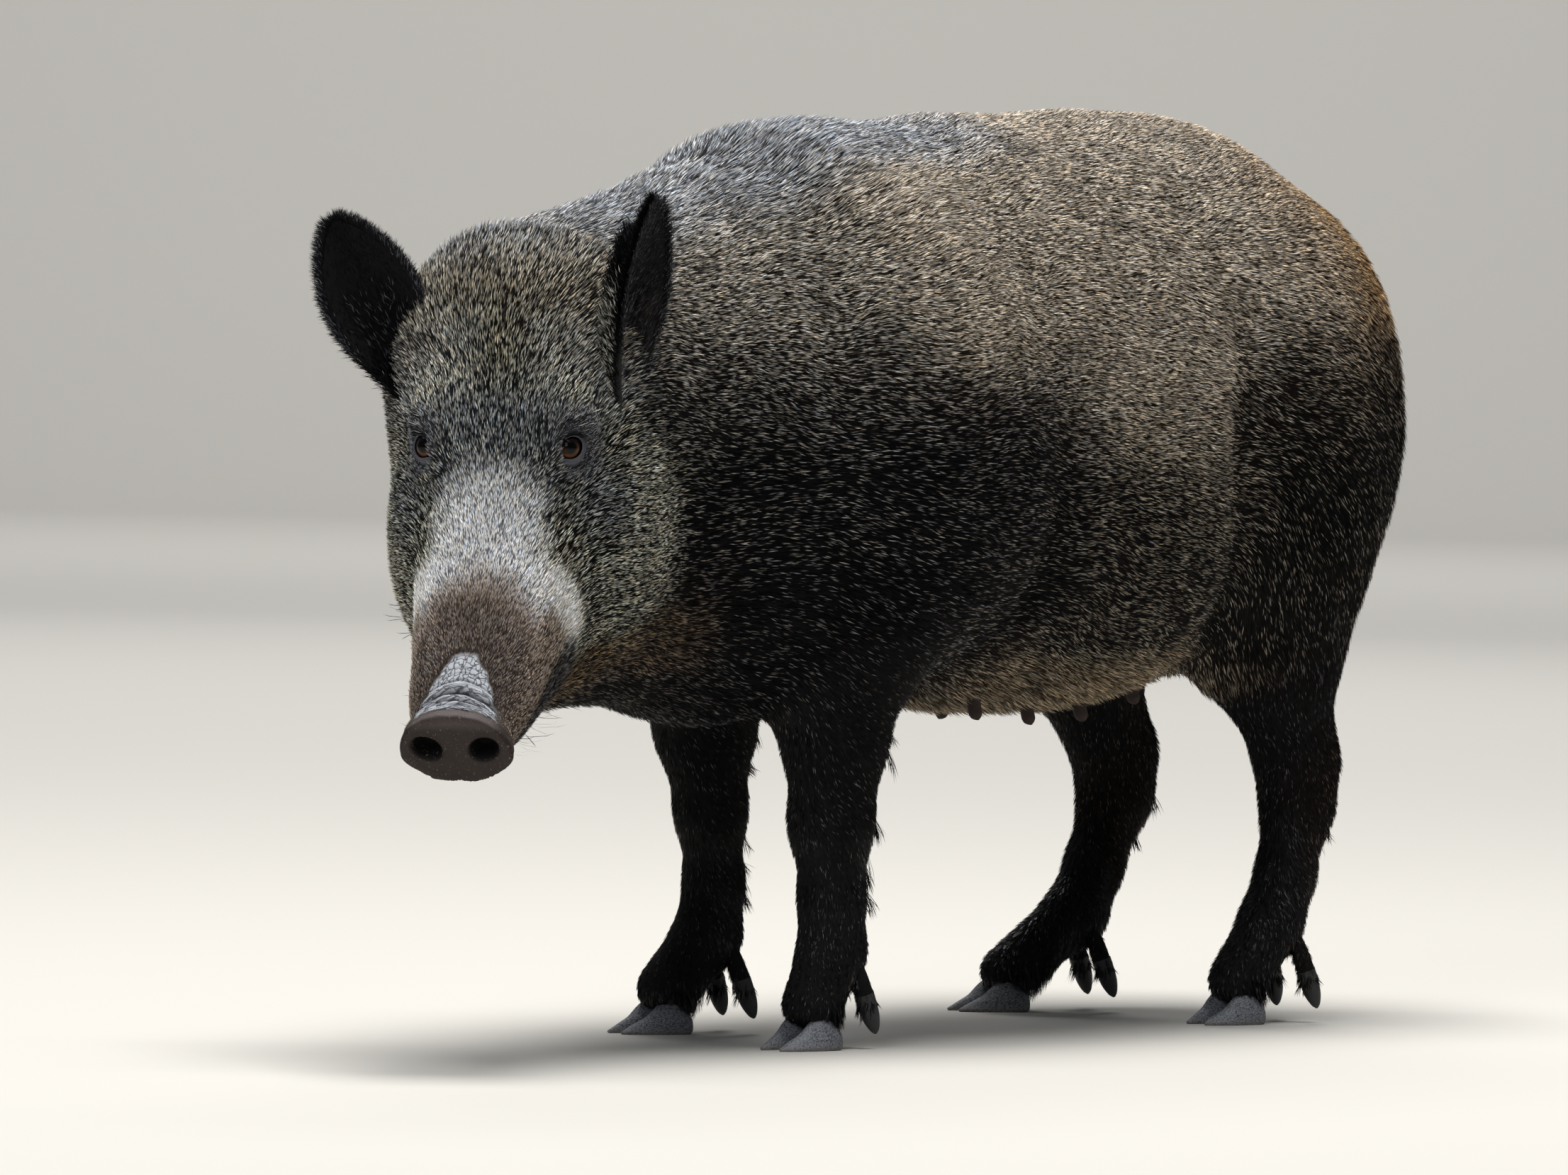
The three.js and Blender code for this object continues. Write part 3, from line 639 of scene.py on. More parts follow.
# %% Disc, folds and nostrils
patch_half_width = curve_through([8, 14, 35, 48, 62, 74], [36, 34, 30, 25, 16, 9])
FOLDS = [  # how far back, height, width; less than 0 is a crease
    (41.0, 2.1, 3.6), (35.0, -3.0, 1.5), (30.8, 1.5, 2.2), (27.0, -1.5, 1.1), (24.0, 1.1, 1.6),
    (21.2, -1.5, 1.0), (18.4, 0.9, 1.5), (16.2, -1.0, 0.8), (13.4, 1.2, 2.0), (10.4, -1.7, 1.2),
    (47.0, -1.3, 1.0), (54.0, -0.8, 0.9), (60.0, -0.7, 0.9),
]
NOSTRIL_SIDE, NOSTRIL_UP, NOSTRIL_WIDE, NOSTRIL_TALL, NOSTRIL_DEEP = 22, 1, 12, 11.5, 15


def arch(q):
    return q[:, 1] + 0.0138 * q[:, 0] ** 2


def snout_patch(q):
    """1 on the bare folded skin behind the disc, with a ragged edge."""
    back = arch(q)
    edge = patch_half_width(back) + 3.5 * noise(q, 7) - np.abs(q[:, 0])
    return rise(edge, -1.5, 2.5) * rise(back, 77, 69) * rise(q[:, 1], 7, 11) * rise(q[:, 2], -4, 10)


def from_nostril(q):
    """Distance from the middle of a nostril, 1 at its rim."""
    s = np.abs(q[:, 0])
    up = q[:, 2] - NOSTRIL_UP - 0.16 * (s - NOSTRIL_SIDE)
    return np.sqrt(((s - NOSTRIL_SIDE) / NOSTRIL_WIDE) ** 2 + (up / NOSTRIL_TALL) ** 2)


def warped_arch(q):
    return arch(q) + 1.6 * noise(q, 13) + 0.7 * noise(q, 5, 2.2)


def snout_crease_shade(q):
    """How far a point lies down in one of the creases, from 0 to 1, for the shade painted into them."""
    warped = warped_arch(q)
    dips = sum(-height / 2.2 * bump(warped, at, 0.8 * width) for at, height, width in FOLDS if height < 0)
    return snout_patch(q) * np.clip(dips, 0, 1)


def snout_detail(q):
    side, back, up = q.T
    warped = warped_arch(q)
    uneven = 0.65 + 0.5 * noise(q, 15, 8.8)
    out = sum(height * (1.0 if abs(height) > 1.2 else uneven) * bump(warped, at, width)
              for at, height, width in FOLDS)
    out = out * snout_patch(q)
    face = rise(back, 8, 2)
    rim = np.sqrt((side / 43) ** 2 + ((up - 1) / 32) ** 2)
    shield = 1.5 * rise(rim, 0.74, 0.92) - bump(side, 0, 4) * rise(up, -8, -24) + 0.35 * noise(q, 6, 4.4)
    ring = 0.9 * bump(from_nostril(q), 1.12, 0.16)
    s = np.abs(side)
    corner = 3.2 * rise(s, 16, 40) * rise(up, -6, -26) + 2.0 * rise(s, 18, 40) * rise(up, 14, 30)
    groove = 2.0 * rise(back, 10, 14) * rise(back, 24, 17) * rise(up, 6, -4)
    return out - corner * rise(back, 22, 12) + face * (shield + ring) - groove


print("folds and creases behind the disc:", len(FOLDS))

# %% The face and the sockets
EYE_LOOK = np.array([0.64, -0.60, 0.48]) / np.linalg.norm([0.64, -0.60, 0.48])
LID_INNER, LID_OUTER, LID_UPPER, LID_LOWER = 10.2, 9.6, 8.4, 7.8


def unit(v):
    return v / np.maximum(np.linalg.norm(v, axis=-1, keepdims=True), 1e-9)


def eye_axes(side):
    """Centre of the eye, its line of sight, and the ways to its inner corner and its upper lid."""
    look = EYE_LOOK * [side, 1, 1]
    inward = side * unit(np.cross(look, [-0.7 * side, 0.5, 1.0]))
    return np.array([side * EYE_SIDE, EYE_BACK, EYE_UP], float), look, inward, side * np.cross(inward, look)


def across_lid(q):
    """Distance from the nearer eye's line of sight, and how far out along it."""
    mirrored = np.abs(q * [1, 0, 0]) + q * [0, 1, 1]
    centre, look, _, _ = eye_axes(1)
    v = mirrored - centre
    out = v @ look
    return np.linalg.norm(v - out[:, None] * look, axis=1), out


def face_detail(q):
    """How far the skin of the head stands out or in, in millimetres. q is in the head's frame."""
    up = q[:, 2]
    out = snout_detail(q)
    for line, width, depth in FACE_CREASES:
        out = out - depth * near_line(q, line, width)
    reach, ahead = across_lid(q)
    below = rise(up, EYE_UP + 4, EYE_UP - 14) * rise(reach, 13, 18) * rise(reach, 38, 26) * (ahead > 0)
    out = out + 1.1 * np.cos((reach - 20) * math.pi / 4.5) * below
    return out + 0.9 * noise(q, 28, 5.5) * rise(q[:, 1], 60, 130)


# %% Shape the skin's detail
mesh = bpy.data.meshes.new("skin")
bm.to_mesh(mesh)
bm.free()


def numbers(collection, name, width, kind=np.float32):
    out = np.zeros(len(collection) * width, kind)
    collection.foreach_get(name, out)
    return out.reshape(-1, width) if width > 1 else out


p = numbers(mesh.vertices, "co", 3)
normal = numbers(mesh.vertices, "normal", 3)
on_head, on_leg = shares_at(p)
q = moved(to_head, p)
out = on_head * face_detail(q) + (1 - on_head) * (1 - 0.8 * on_leg) * body_detail(p)
p = p + normal * out[:, None]
nostril_hole_and_shade = rise(from_nostril(q), 1.05, 0.55) * rise(q[:, 1], 12, 5)
p = p + nostril_hole_and_shade[:, None] * NOSTRIL_DEEP * head_frame[:3, 1].astype(np.float32)
reach, ahead = across_lid(q)
pocket = 9.0 * rise(reach, 14.5, 8.0) * (ahead > 0) * (np.abs(q[:, 0]) > 20)
into = head_frame[:3, :3] @ np.stack([-EYE_LOOK, -EYE_LOOK * [-1, 1, 1]], 1)
p = p + pocket[:, None] * np.where(q[:, :1] > 0, into[:, 0], into[:, 1]).astype(np.float32)
mesh.vertices.foreach_set("co", p.ravel())
mesh.update()
print("detail moves the skin by", out.min().round(1), "to", out.max().round(1), "mm")

# %% [markdown]
# ## Ears, lids, teats, dewclaws and tail
#
# Thin parts don't come out of a net with cells of half a centimetre, so they are drawn as their own small
# grids, sunk into the skin where they grow from it, and joined to it as one mesh. An ear is a cupped leaf
# with two sides. A lid is a ring that starts on the eyeball, rolls over as a rim, has one fold above and one
# below, and runs out into the skin of the socket.


# %% Grids and tubes
def grid_faces(rows, columns, closed=False):
    """Faces of a grid whose points are numbered row by row."""
    across = columns if closed else columns - 1
    r, c = np.meshgrid(np.arange(rows - 1), np.arange(across), indexing="ij")
    r, c = r.ravel(), c.ravel()
    n = (c + 1) % columns
    return np.stack([r * columns + c, r * columns + n, (r + 1) * columns + n, (r + 1) * columns + c], 1)


def tube(spine, radii, sides=12):
    """Rings round a line of points."""
    spine, radii = np.array(spine, float), np.array(radii, float)
    along = unit(np.gradient(spine, axis=0))
    across = unit(np.array([1.0, 0, 0]) - along * along[:, :1])
    third = np.cross(along, across)
    a = np.arange(sides) * 2 * math.pi / sides
    ring = np.cos(a)[None, :, None] * across[:, None] + np.sin(a)[None, :, None] * third[:, None]
    return (spine[:, None] + ring * radii[:, None, None]).reshape(-1, 3)


def resampled(points, n):
    points = np.array(points, float)
    t = np.linspace(0, len(points) - 1, n)
    return np.stack([np.interp(t, np.arange(len(points)), c) for c in points.T], 1)


# %% The fleshy part of each dewclaw
FETLOCKS = {name: foot_frames(leg)[0] for name, leg in LEGS.items()}
dewclaw_radius = curve_through([-0.5, 0, 0.35, 0.72, 0.94, 1], [5, 7.4, 7.8, 6.8, 3.4, 0.8])


def dewclaw(name, half, start, end, rings, grow):
    """A length of a dewclaw from start to end, where 0 is its top and 1 its tip."""
    t = np.linspace(start, end, rings)
    spine = np.stack([half * (18 + 5 * t), 12 + 16 * t - 6 * np.minimum(t, 0) ** 2, 57 - 45 * t], 1)
    return moved(FETLOCKS[name], tube(spine, dewclaw_radius(t) + grow, 16)), grid_faces(rings, 16, True)


parts = [dewclaw(name, half, -0.5, 0.5, 10, -0.4) for name in LEGS for half in BOTH]
haired_extras = sum(len(points) for points, _ in parts)
print("points on the bases of the dewclaws:", haired_extras)

# %% The ears
EARS = {  # root and tip in the head's frame, and where the cup opens, in the world
    "right": ((-84, 335, 96), (-144, 411, 182), (0.45, -0.88, 0.1)),
    "left": ((92, 335, 96), (112, 410, 203), (0.93, 0.2, 0.2)),
}
ear_half = curve_through([-0.3, 0, 0.22, 0.48, 0.7, 0.87, 0.97, 1], [9, 22, 31, 34.5, 28, 17, 7.5, 3])
ear_cup = curve_through([-0.3, 0, 0.22, 0.48, 0.7, 0.87, 0.97, 1], [16, 21, 20, 15, 9.5, 4.5, 1.2, 0])
EAR_THICK = 5.5
ear_frames = {}
for ear, (root, tip, opening) in EARS.items():
    a, b = moved(head_frame, np.array([root, tip], np.float32)).astype(float)
    axis = unit(b - a)
    facing = unit(np.array(opening) - axis * (np.array(opening) @ axis))
    ear_frames[ear] = (a, np.linalg.norm(b - a) - 2, axis, facing, np.cross(axis, facing))


def ear_point(ear, u, v, face):
    """A point on an ear: u from root to tip, v across, face 1 inside the cup and -1 on its back."""
    a, length, axis, facing, across = ear_frames[ear]
    u, v = np.asarray(u, float), np.asarray(v, float)
    half, cup = ear_half(u), ear_cup(u)
    thick = EAR_THICK * (1 - 0.5 * np.clip(u, 0, 1)) * 0.5
    deep = -cup * (1 - v * v) + face * thick * (1 - 0.85 * v ** 4) + 0.05 * half * rise(np.abs(v), 0.7, 1.0)
    deep = deep - 6.0 * rise(u, 0.35, -0.1) * (face > 0) * (1 - v * v)
    ripple = 0.6 * np.sin(v * 9 + u * 3) * rise(u, 0, 0.3) * rise(u, 0.95, 0.7)
    deep = deep + ripple
    return a + np.multiply.outer(u * length, axis) + np.multiply.outer(v * half, across) + np.multiply.outer(
        deep, facing)


def ear_mesh(ear, rows=34, columns=22):
    u = np.linspace(-0.3, 1, rows)[:, None]
    v = np.sin(np.linspace(-1, 1, columns) * math.pi / 2)[None]
    front = ear_point(ear, u + 0 * v, v + 0 * u, 1)
    back = ear_point(ear, u + 0 * v, v + 0 * u, -1)[:, ::-1]
    return np.concatenate([front, back], 1).reshape(-1, 3), grid_faces(rows, columns * 2, True)


parts += [ear_mesh(ear) for ear in EARS]
print("ears:", {ear: round(float(made[1])) for ear, made in ear_frames.items()}, "mm long")

# %% The lids
LID_STEPS, LID_RINGS = 64, 18
LID_GAP, DOME_EDGE = 0.9, 10.5  # room over the eyeball, and how far out the lid follows it


def lid_outline(a):
    """Half widths of the opening at each angle, with the inner corner drawn out and down."""
    corner = np.clip(np.cos(a), 0, 1) ** 10
    wide = np.where(np.cos(a) > 0, LID_INNER, LID_OUTER) * np.cos(a) + 1.6 * corner
    tall = np.where(np.sin(a) > 0, LID_UPPER, LID_LOWER) * np.sin(a) * (1 - 0.16 * np.abs(np.cos(a)) ** 3)
    return wide, tall - 0.8 * corner


def lid_mesh(side):
    centre, look, inward, over = eye_axes(side)
    a = np.linspace(0, 2 * math.pi, LID_STEPS, endpoint=False)
    wide, tall = lid_outline(a)
    upper = np.clip(np.sin(a) * 1.6, 0, 1)
    rings = []
    for t in np.linspace(0, 1, LID_RINGS):
        grow = 1 + 0.85 * t ** 1.2
        w, h = wide * grow, tall * grow
        reach = np.hypot(w, h)
        dome = np.sqrt((EYE_RADIUS + LID_GAP) ** 2 - np.minimum(reach, DOME_EDGE) ** 2)
        dome = dome - 0.9 * np.maximum(reach - DOME_EDGE, 0)
        rim = 1.9 * math.sin(min(t / 0.16, 1) * math.pi / 2)
        fold = 0.8 * bump(t, 0.62, 0.13) - (1.5 * upper + 0.7) * bump(t, 0.42, 0.09)
        point = centre + np.outer(w, inward) + np.outer(h, over) + np.outer(dome + rim + fold, look)
        point = moved(head_frame, point.astype(np.float32))
        skin_side = point.copy()
        for _ in range(4):
            away = np.clip(skin_distance(skin_side) + 0.5, -5, 5)[:, None]
            skin_side = skin_side - away * slope_of(skin_distance, skin_side)
        rings.append(point + (skin_side - point) * float(rise(t, 0.5, 0.98)))
    return np.concatenate(rings), grid_faces(LID_RINGS, LID_STEPS, True)


parts += [lid_mesh(s) for s in BOTH]
print("points on each ring of lids:", len(parts[-1][0]))

# %% Teats and tail
TEAT_ROWS = [(50, -100), (-50, -142)]
for x, start in TEAT_ROWS:
    for i in range(4):
        y = start + 73 * i
        z = np.arange(200, 330, 0.5, dtype=np.float32)
        column = np.stack([np.full_like(z, x), np.full_like(z, y), z], 1)
        under = z[np.argmax(flesh_parts(column)[3] < 0)]
        tilt = math.copysign(4, x)
        path = resampled([(x, y, under + 14), (x + tilt, y, under - 10), (x + 2 * tilt, y, under - 17)], 10)
        radii = [8.5, 7.4, 6.4, 5.9, 5.6, 5.6, 5.4, 4.9, 3.4, 0.8]
        parts.append((tube(path, radii), grid_faces(10, 12, True)))
teat_points = np.concatenate([points for points, _ in parts[-8:]])


def rump_back(z):
    y = np.arange(600, 300, -1, dtype=np.float32)
    column = np.stack([0 * y, y, np.full_like(y, z)], 1)
    inside = flesh_parts(column)[3] < 0
    return float(y[np.argmax(inside)]) if inside.any() else -math.inf


hang = rump_back(500) - 4
TAIL = [(628, 13, -34), (612, 11, 2), (572, 8.5, 12), (515, 7, 13), (455, 5.5, 13), (395, 4.5, 13),
        (350, 3.5, 13), (338, 0.8, 12)]
tail_spine = [(0, max(rump_back(z), hang if z < 560 else 0) + out, z) for z, _, out in TAIL]
tail_path = resampled(tail_spine, 40)
tail_radii = np.interp(np.linspace(0, 7, 40), range(8), [r for _, r, _ in TAIL])
parts.append((tube(tail_path, tail_radii, 14), grid_faces(40, 14, True)))
print("parts joined to the skin:", len(parts))

# %% [markdown]
# ## From millimetres to mesh
#
# Blender takes big meshes fastest as flat arrays. The same short function makes the skin's small parts and,
# later, coat pieces with a hundred thousand faces each.


# %% Make meshes from arrays
def in_metres(p):
    return (np.asarray(p, np.float32) + ORIGIN_SHIFT) * MM


def new_mesh(name, points, faces):
    """A mesh from points in millimetres and faces that all have the same number of corners."""
    mesh = bpy.data.meshes.new(name)
    corners = faces.shape[1]
    mesh.vertices.add(len(points))
    mesh.vertices.foreach_set("co", in_metres(points).ravel())
    mesh.loops.add(faces.size)
    mesh.loops.foreach_set("vertex_index", faces.astype(np.int32).ravel())
    mesh.polygons.add(len(faces))
    mesh.polygons.foreach_set("loop_start", np.arange(0, faces.size, corners, dtype=np.int32))
    mesh.update(calc_edges=True)
    return mesh


def shown(name, mesh, smooth=True):
    ob = bpy.data.objects.new(name, mesh)
    bpy.context.scene.collection.objects.link(ob)
    mesh.polygons.foreach_set("use_smooth", np.full(len(mesh.polygons), smooth))
    return ob


def painted(mesh, **values):
    """Stores numbers or colours on the points, for the materials to read."""
    for name, value in values.items():
        value = np.asarray(value, np.float32)
        if value.ndim == 1:
            mesh.attributes.new(name, "FLOAT", "POINT").data.foreach_set("value", value)
        else:
            rgba = np.concatenate([value, np.ones((len(value), 1), np.float32)], 1)
            mesh.attributes.new(name, "FLOAT_COLOR", "POINT").data.foreach_set("color", rgba.ravel())


p = numbers(mesh.vertices, "co", 3)
body_count = len(p)
mesh.vertices.foreach_set("co", in_metres(p).ravel())
skin = shown("skin", mesh)
extras = [shown("extra", new_mesh("extra", points, faces)) for points, faces in parts]
with bpy.context.temp_override(active_object=skin, selected_editable_objects=[skin, *extras]):
    bpy.ops.object.join()
mesh = skin.data
bm = bmesh.new()
bm.from_mesh(mesh)
bmesh.ops.recalc_face_normals(bm, faces=bm.faces)
bm.to_mesh(mesh)
bm.free()
told("skin with ears, lids, teats and tail:", len(mesh.polygons), "faces")

# %% [markdown]
# ## Her markings
#
# A boar's bristle is near black at the root and often pale at the tip, so the coat looks grizzled. What
# changes over the body is the colour of the tips and how many there are. Each zone below has a weight that
# is high where the zone is, and every point takes the weighted mean of the zones. The skin and the tufts
# read the same function, so they carry the same markings.


# %% Colours
def hexed(text):
    srgb = np.array([int(text[i:i + 2], 16) for i in (0, 2, 4)]) / 255
    return np.where(srgb <= 0.04045, srgb / 12.92, ((srgb + 0.055) / 1.055) ** 2.4)


ZONE_COLOURS = {  # dark underneath, pale tip, square millimetres of skin for each pale tip
    "flank": ("110e0c", "cdbfa4", 5.6),
    "side": ("060506", "968f83", 12.0),
    "withers": ("1b1e25", "bccadc", 3.0),
    "back": ("2e2720", "e8d9c6", 2.1),
    "rump": ("2b1e13", "d0a673", 3.2),
    "neck": ("0a0a0d", "c4c2bb", 6.0),
    "shoulder": ("030305", "858486", 40.0),
    "chest": ("030305", "5a5a62", 200.0),
    "belly": ("3c2f21", "dcc39e", 2.4),
    "thigh": ("040404", "8f877c", 34.0),
    "leg": ("0c0b0c", "625d5c", 30.0),
    "shank_back": ("17120e", "6b5643", 12.0),
    "forehead": ("0e0d0c", "e6ddbb", 3.0),
    "between": ("1a1d21", "c2c6ca", 2.6),
    "crown": ("120d0a", "bcaa8e", 4.0),
    "brow": ("26282c", "faf9f4", 1.9),
    "bridge": ("7a7b7f", "fdfdff", 1.15),
    "lip_band": ("a8a39e", "ffffff", 1.0),
    "muzzle_top": ("2a2523", "645a57", 2.0),
    "muzzle_side": ("43362f", "b09c8f", 1.4),
    "muzzle_tan": ("6b5d54", "c2b0a2", 1.2),
    "lip": ("131215", "77737a", 3.2),
    "cheek": ("0a0a0a", "efecd8", 3.1),
    "under_eye": ("0d0f13", "a0a6ae", 3.3),
    "eye_ring": ("2c2d32", "9a9ba3", 1.6),
    "jaw": ("1c130b", "a08460", 3.0),
    "throat": ("0c0704", "4a3626", 8.0),
    "ear_base": ("0a0a0c", "6d6c70", 7.0),
}


# the low edge of the brown, from shoulder to rump
warm_from = curve_through([-560, -320, -150, 40, 190, 300], [565, 555, 525, 475, 505, 540])


def zone_weights(p, torso, head, leg):
    x, y, z = moved(to_upright, p).T
    side, back, up = moved(to_head, p).T
    s = np.abs(side)
    on_head, on_leg = shares(p, torso, head, leg)
    on_head = np.maximum(on_head * rise(back, 440, 380), rise(torso - head, 10, 40))
    eye = from_eye(side, back, up, 8)
    z = z + 22 * noise(p, 70, 3.1) + 9 * noise(p, 25, 6.3)
    y = y + 25 * noise(p, 80, 12.7)
    low = warm_from(y)
    body = {
        "flank": 0.5 + 0 * z,
        "withers": 8.0 * rise(np.abs(x), 105, 45) * rise(z, 600, 670) * rise(y, -30, -230),
        "side": 1.6 * rise(z, 520, 430),
        "back": 3.2 * rise(z, low - 100, low + 130) * rise(y, 340, 210),
        "rump": 3.0 * rise(z, 450, 600) * rise(y, 130, 300),
        "neck": 2.0 * rise(y, -290, -420) * rise(z, 430, 540),
        "shoulder": 3.6 * rise(y, -60, -230) * rise(z, 580, 460),
        "chest": 5.0 * rise(y, -230, -330) * rise(z, 420, 350),
        "belly": 3.4 * rise(z, 318, 268) * rise(y, -190, -110),
        "thigh": 9.0 * rise(y, 80, 150) * rise(z, 600, 480),
        "throat": 4.0 * rise(y, -450, -530) * rise(z, 420, 360),
        "jaw": 12.0 * rise(y, -500, -560) * rise(z, 290, 318) * rise(z, 368, 340),
    }
    rear = rise(p[:, 1], 250, 300) * rise(z, 260, 180)
    legs = {"leg": 1.0 + 0 * z, "shank_back": 1.5 * rear}
    edge = 5 * noise(p, 16, 2.2) + 3 * noise(p, 6, 5.2)
    brown_end = 137 - 27 * (s / 42) ** 2 + edge
    white_half = np.maximum(46 - 0.7 * (back - 143), 24) + edge
    jaw_line = -60 - 0.32 * (back - 180) + 2 * edge
    face = {
        "cheek": 0.5 + 0 * z,
        "forehead": 2.0 * rise(up, 92, 116) * rise(back, 262, 300),
        "between": 2.4 * rise(s, 56, 30) * bump(back, 250, 32) * rise(up, 40, 60),
        "crown": 2.4 * rise(back, 322, 352) * rise(s, 70, 40) * rise(up, 110, 130),
        "brow": 4.5 * bump(back, 304 + 0.2 * s, 24) * rise(s, 4, 34) * rise(up, 66, 90) * rise(s, 112, 94),
        "bridge": 4.0 * rise(s, white_half + 22, white_half - 14) * rise(back, brown_end - 16, brown_end + 20)
        * rise(back, 240, 190) * rise(up, 14, 30),
        "lip_band": 5.5 * bump(back, 153 + 0.3 * (s - 45), 11) * rise(s, 26, 42) * rise(s, 80, 54)
        * rise(up, -32, -4),
        "muzzle_top": 5.0 * rise(back, brown_end + 26, brown_end - 26) * rise(s, 56, 30) * rise(up, 0, 24),
        "muzzle_side": 3.0 * rise(back, 150, 110) * rise(up, -24, -8),
        "muzzle_tan": 4.0 * bump(back, brown_end - 6, 14) * rise(s, 58, 38) * rise(up, 0, 20),
        "lip": 4.0 * rise(back, 158, 128) * rise(up, -12, -28),
        "under_eye": 1.6 * bump(s, 72, 18) * bump(back, 242, 26) * bump(up, 42, 22),
        "eye_ring": 6.0 * rise(eye, 32, 15),
        "jaw": 3.4 * rise(up, jaw_line + 8, jaw_line - 12) * rise(back, 90, 130),
        "throat": 5.0 * rise(up, -112, -140) * rise(s, 84, 50),
        "ear_base": 4.0 * bump(s, 104, 20) * bump(back, 360, 26) * bump(up, 80, 30),
    }
    weights = {name: 0 for name in ZONE_COLOURS}
    off_head = 1 - on_head
    for share, zones in ((on_head, face), (off_head * (1 - on_leg), body), (off_head * on_leg, legs)):
        total = sum(zones.values())
        for name, w in zones.items():
            weights[name] = weights[name] + share * w / total
    return weights


def markings(p):
    """Dark colour, pale tip colour and number of pale tips to a square millimetre at each point."""
    torso, head, leg, _ = flesh_parts(p)
    dark, pale, density = np.zeros((len(p), 3)), np.zeros((len(p), 3)), np.zeros(len(p))
    for name, w in zone_weights(p, torso, head, leg).items():
        under, tip, room = ZONE_COLOURS[name]
        dark += np.multiply.outer(w, hexed(under))
        pale += np.multiply.outer(w, hexed(tip))
        density += w / room
    return dark, pale, density


# %% Paint the skin
def close_to(points, p, reach):
    """Which of p lie within reach of one of the points."""
    tree = KDTree(len(points))
    for i, co in enumerate(points.tolist()):
        tree.insert(co, i)
    tree.balance()
    low, high = points.min(0) - reach, points.max(0) + reach
    found = ((p > low) & (p < high)).all(1)
    for i in np.nonzero(found)[0]:
        found[i] = tree.find(p[i])[2] < reach
    return found


p = numbers(mesh.vertices, "co", 3) / MM - ORIGIN_SHIFT
q = moved(to_head, p)
is_body = np.arange(len(p)) < body_count
dark, pale, density = markings(p)
disc = rise(q[:, 1], 12, 8) * rise(np.abs(q[:, 0]), 90, 60) * is_body
folded = snout_patch(q) * is_body
# Painted shade: the nostrils and a soft ring round them are painted near black, as deep shade falls into
# them.
nostril_hole_and_shade = rise(from_nostril(q), 1.25, 0.85) * rise(q[:, 1], 26, 20) * disc
nostril_hole_and_shade = np.maximum(nostril_hole_and_shade, rise(from_nostril(q), 1.1, 0.9) * rise(q[:, 1], 26, 20) * (q[:, 1] > -12) * is_body)
# Painted highlight: the top of the disc's rim is painted paler, where light from above falls on it.
rim_top_highlight = disc * rise(q[:, 2], 16, 27) * rise(q[:, 1], -3, 3)
reach, ahead = across_lid(q)
lids = rise(reach, 14.2, 11.6) * (ahead > 0) * (np.abs(q[:, 0]) > 20)
tear = 0.8 * near_line(q, TEAR, 2.6) * is_body
teats = close_to(teat_points, p, 2.0) * 1.0
colour = dark * 0.85 + 0.10 * pale * density[:, None]
on_ears = ~is_body * rise(q[:, 1], 290, 310) * rise(np.abs(q[:, 0]), 50, 60)
on_ears = on_ears * rise(q[:, 2] - 34 * (q[:, 0] > 0), 82, 98)
# Painted shade: the creases behind the disc are painted darker, as well as pressed in by the skin's detail.
LAYERS = [
    (on_ears, "08080a"), (folded, "9fa2a8"), (0.75 * snout_crease_shade(q) * is_body, "2f2e31"),
    (disc, "2f2725"), (rim_top_highlight, "4c4442"), (nostril_hole_and_shade, "060404"),
    (lids, "515158"), (tear, "77777c"), (teats, "3b3230"),
]
for share, text in LAYERS:
    colour = colour + (hexed(text) - colour) * share[:, None]
bare = np.max([folded, disc, nostril_hole_and_shade, lids, tear, teats], axis=0)
painted(mesh, colour=colour, bare=bare, folded=folded, disc=disc, wet=lids * 0.6 + disc * 0.15, arch=arch(q),
        across=q[:, 0])
print("bare skin on", int((bare > 0.5).sum()), "points")

# %% [markdown]
# ## Finishes as sums
#
# A small class wraps a socket, so that shader maths reads as ordinary sums. Its node() method adds any
# node, sets it up, feeds its sockets and hands back the result to use in the next sum.


# %% The finish helper
class Wire:
    """The value at one socket. Adding, multiplying and so on adds a Math node."""

    def __init__(self, finish, socket):
        self.finish, self.socket = finish, socket

    def math(self, operation, a, b):
        return self.finish.node("Math", {"operation": operation}, {0: a, 1: b})

    def __add__(self, other):
        return self.math("ADD", self, other)

    __radd__ = __add__

    def __mul__(self, other):
        return self.math("MULTIPLY", self, other)

    __rmul__ = __mul__

    def __sub__(self, other):
        return self.math("SUBTRACT", self, other)

    def __rsub__(self, other):
        return self.math("SUBTRACT", other, self)


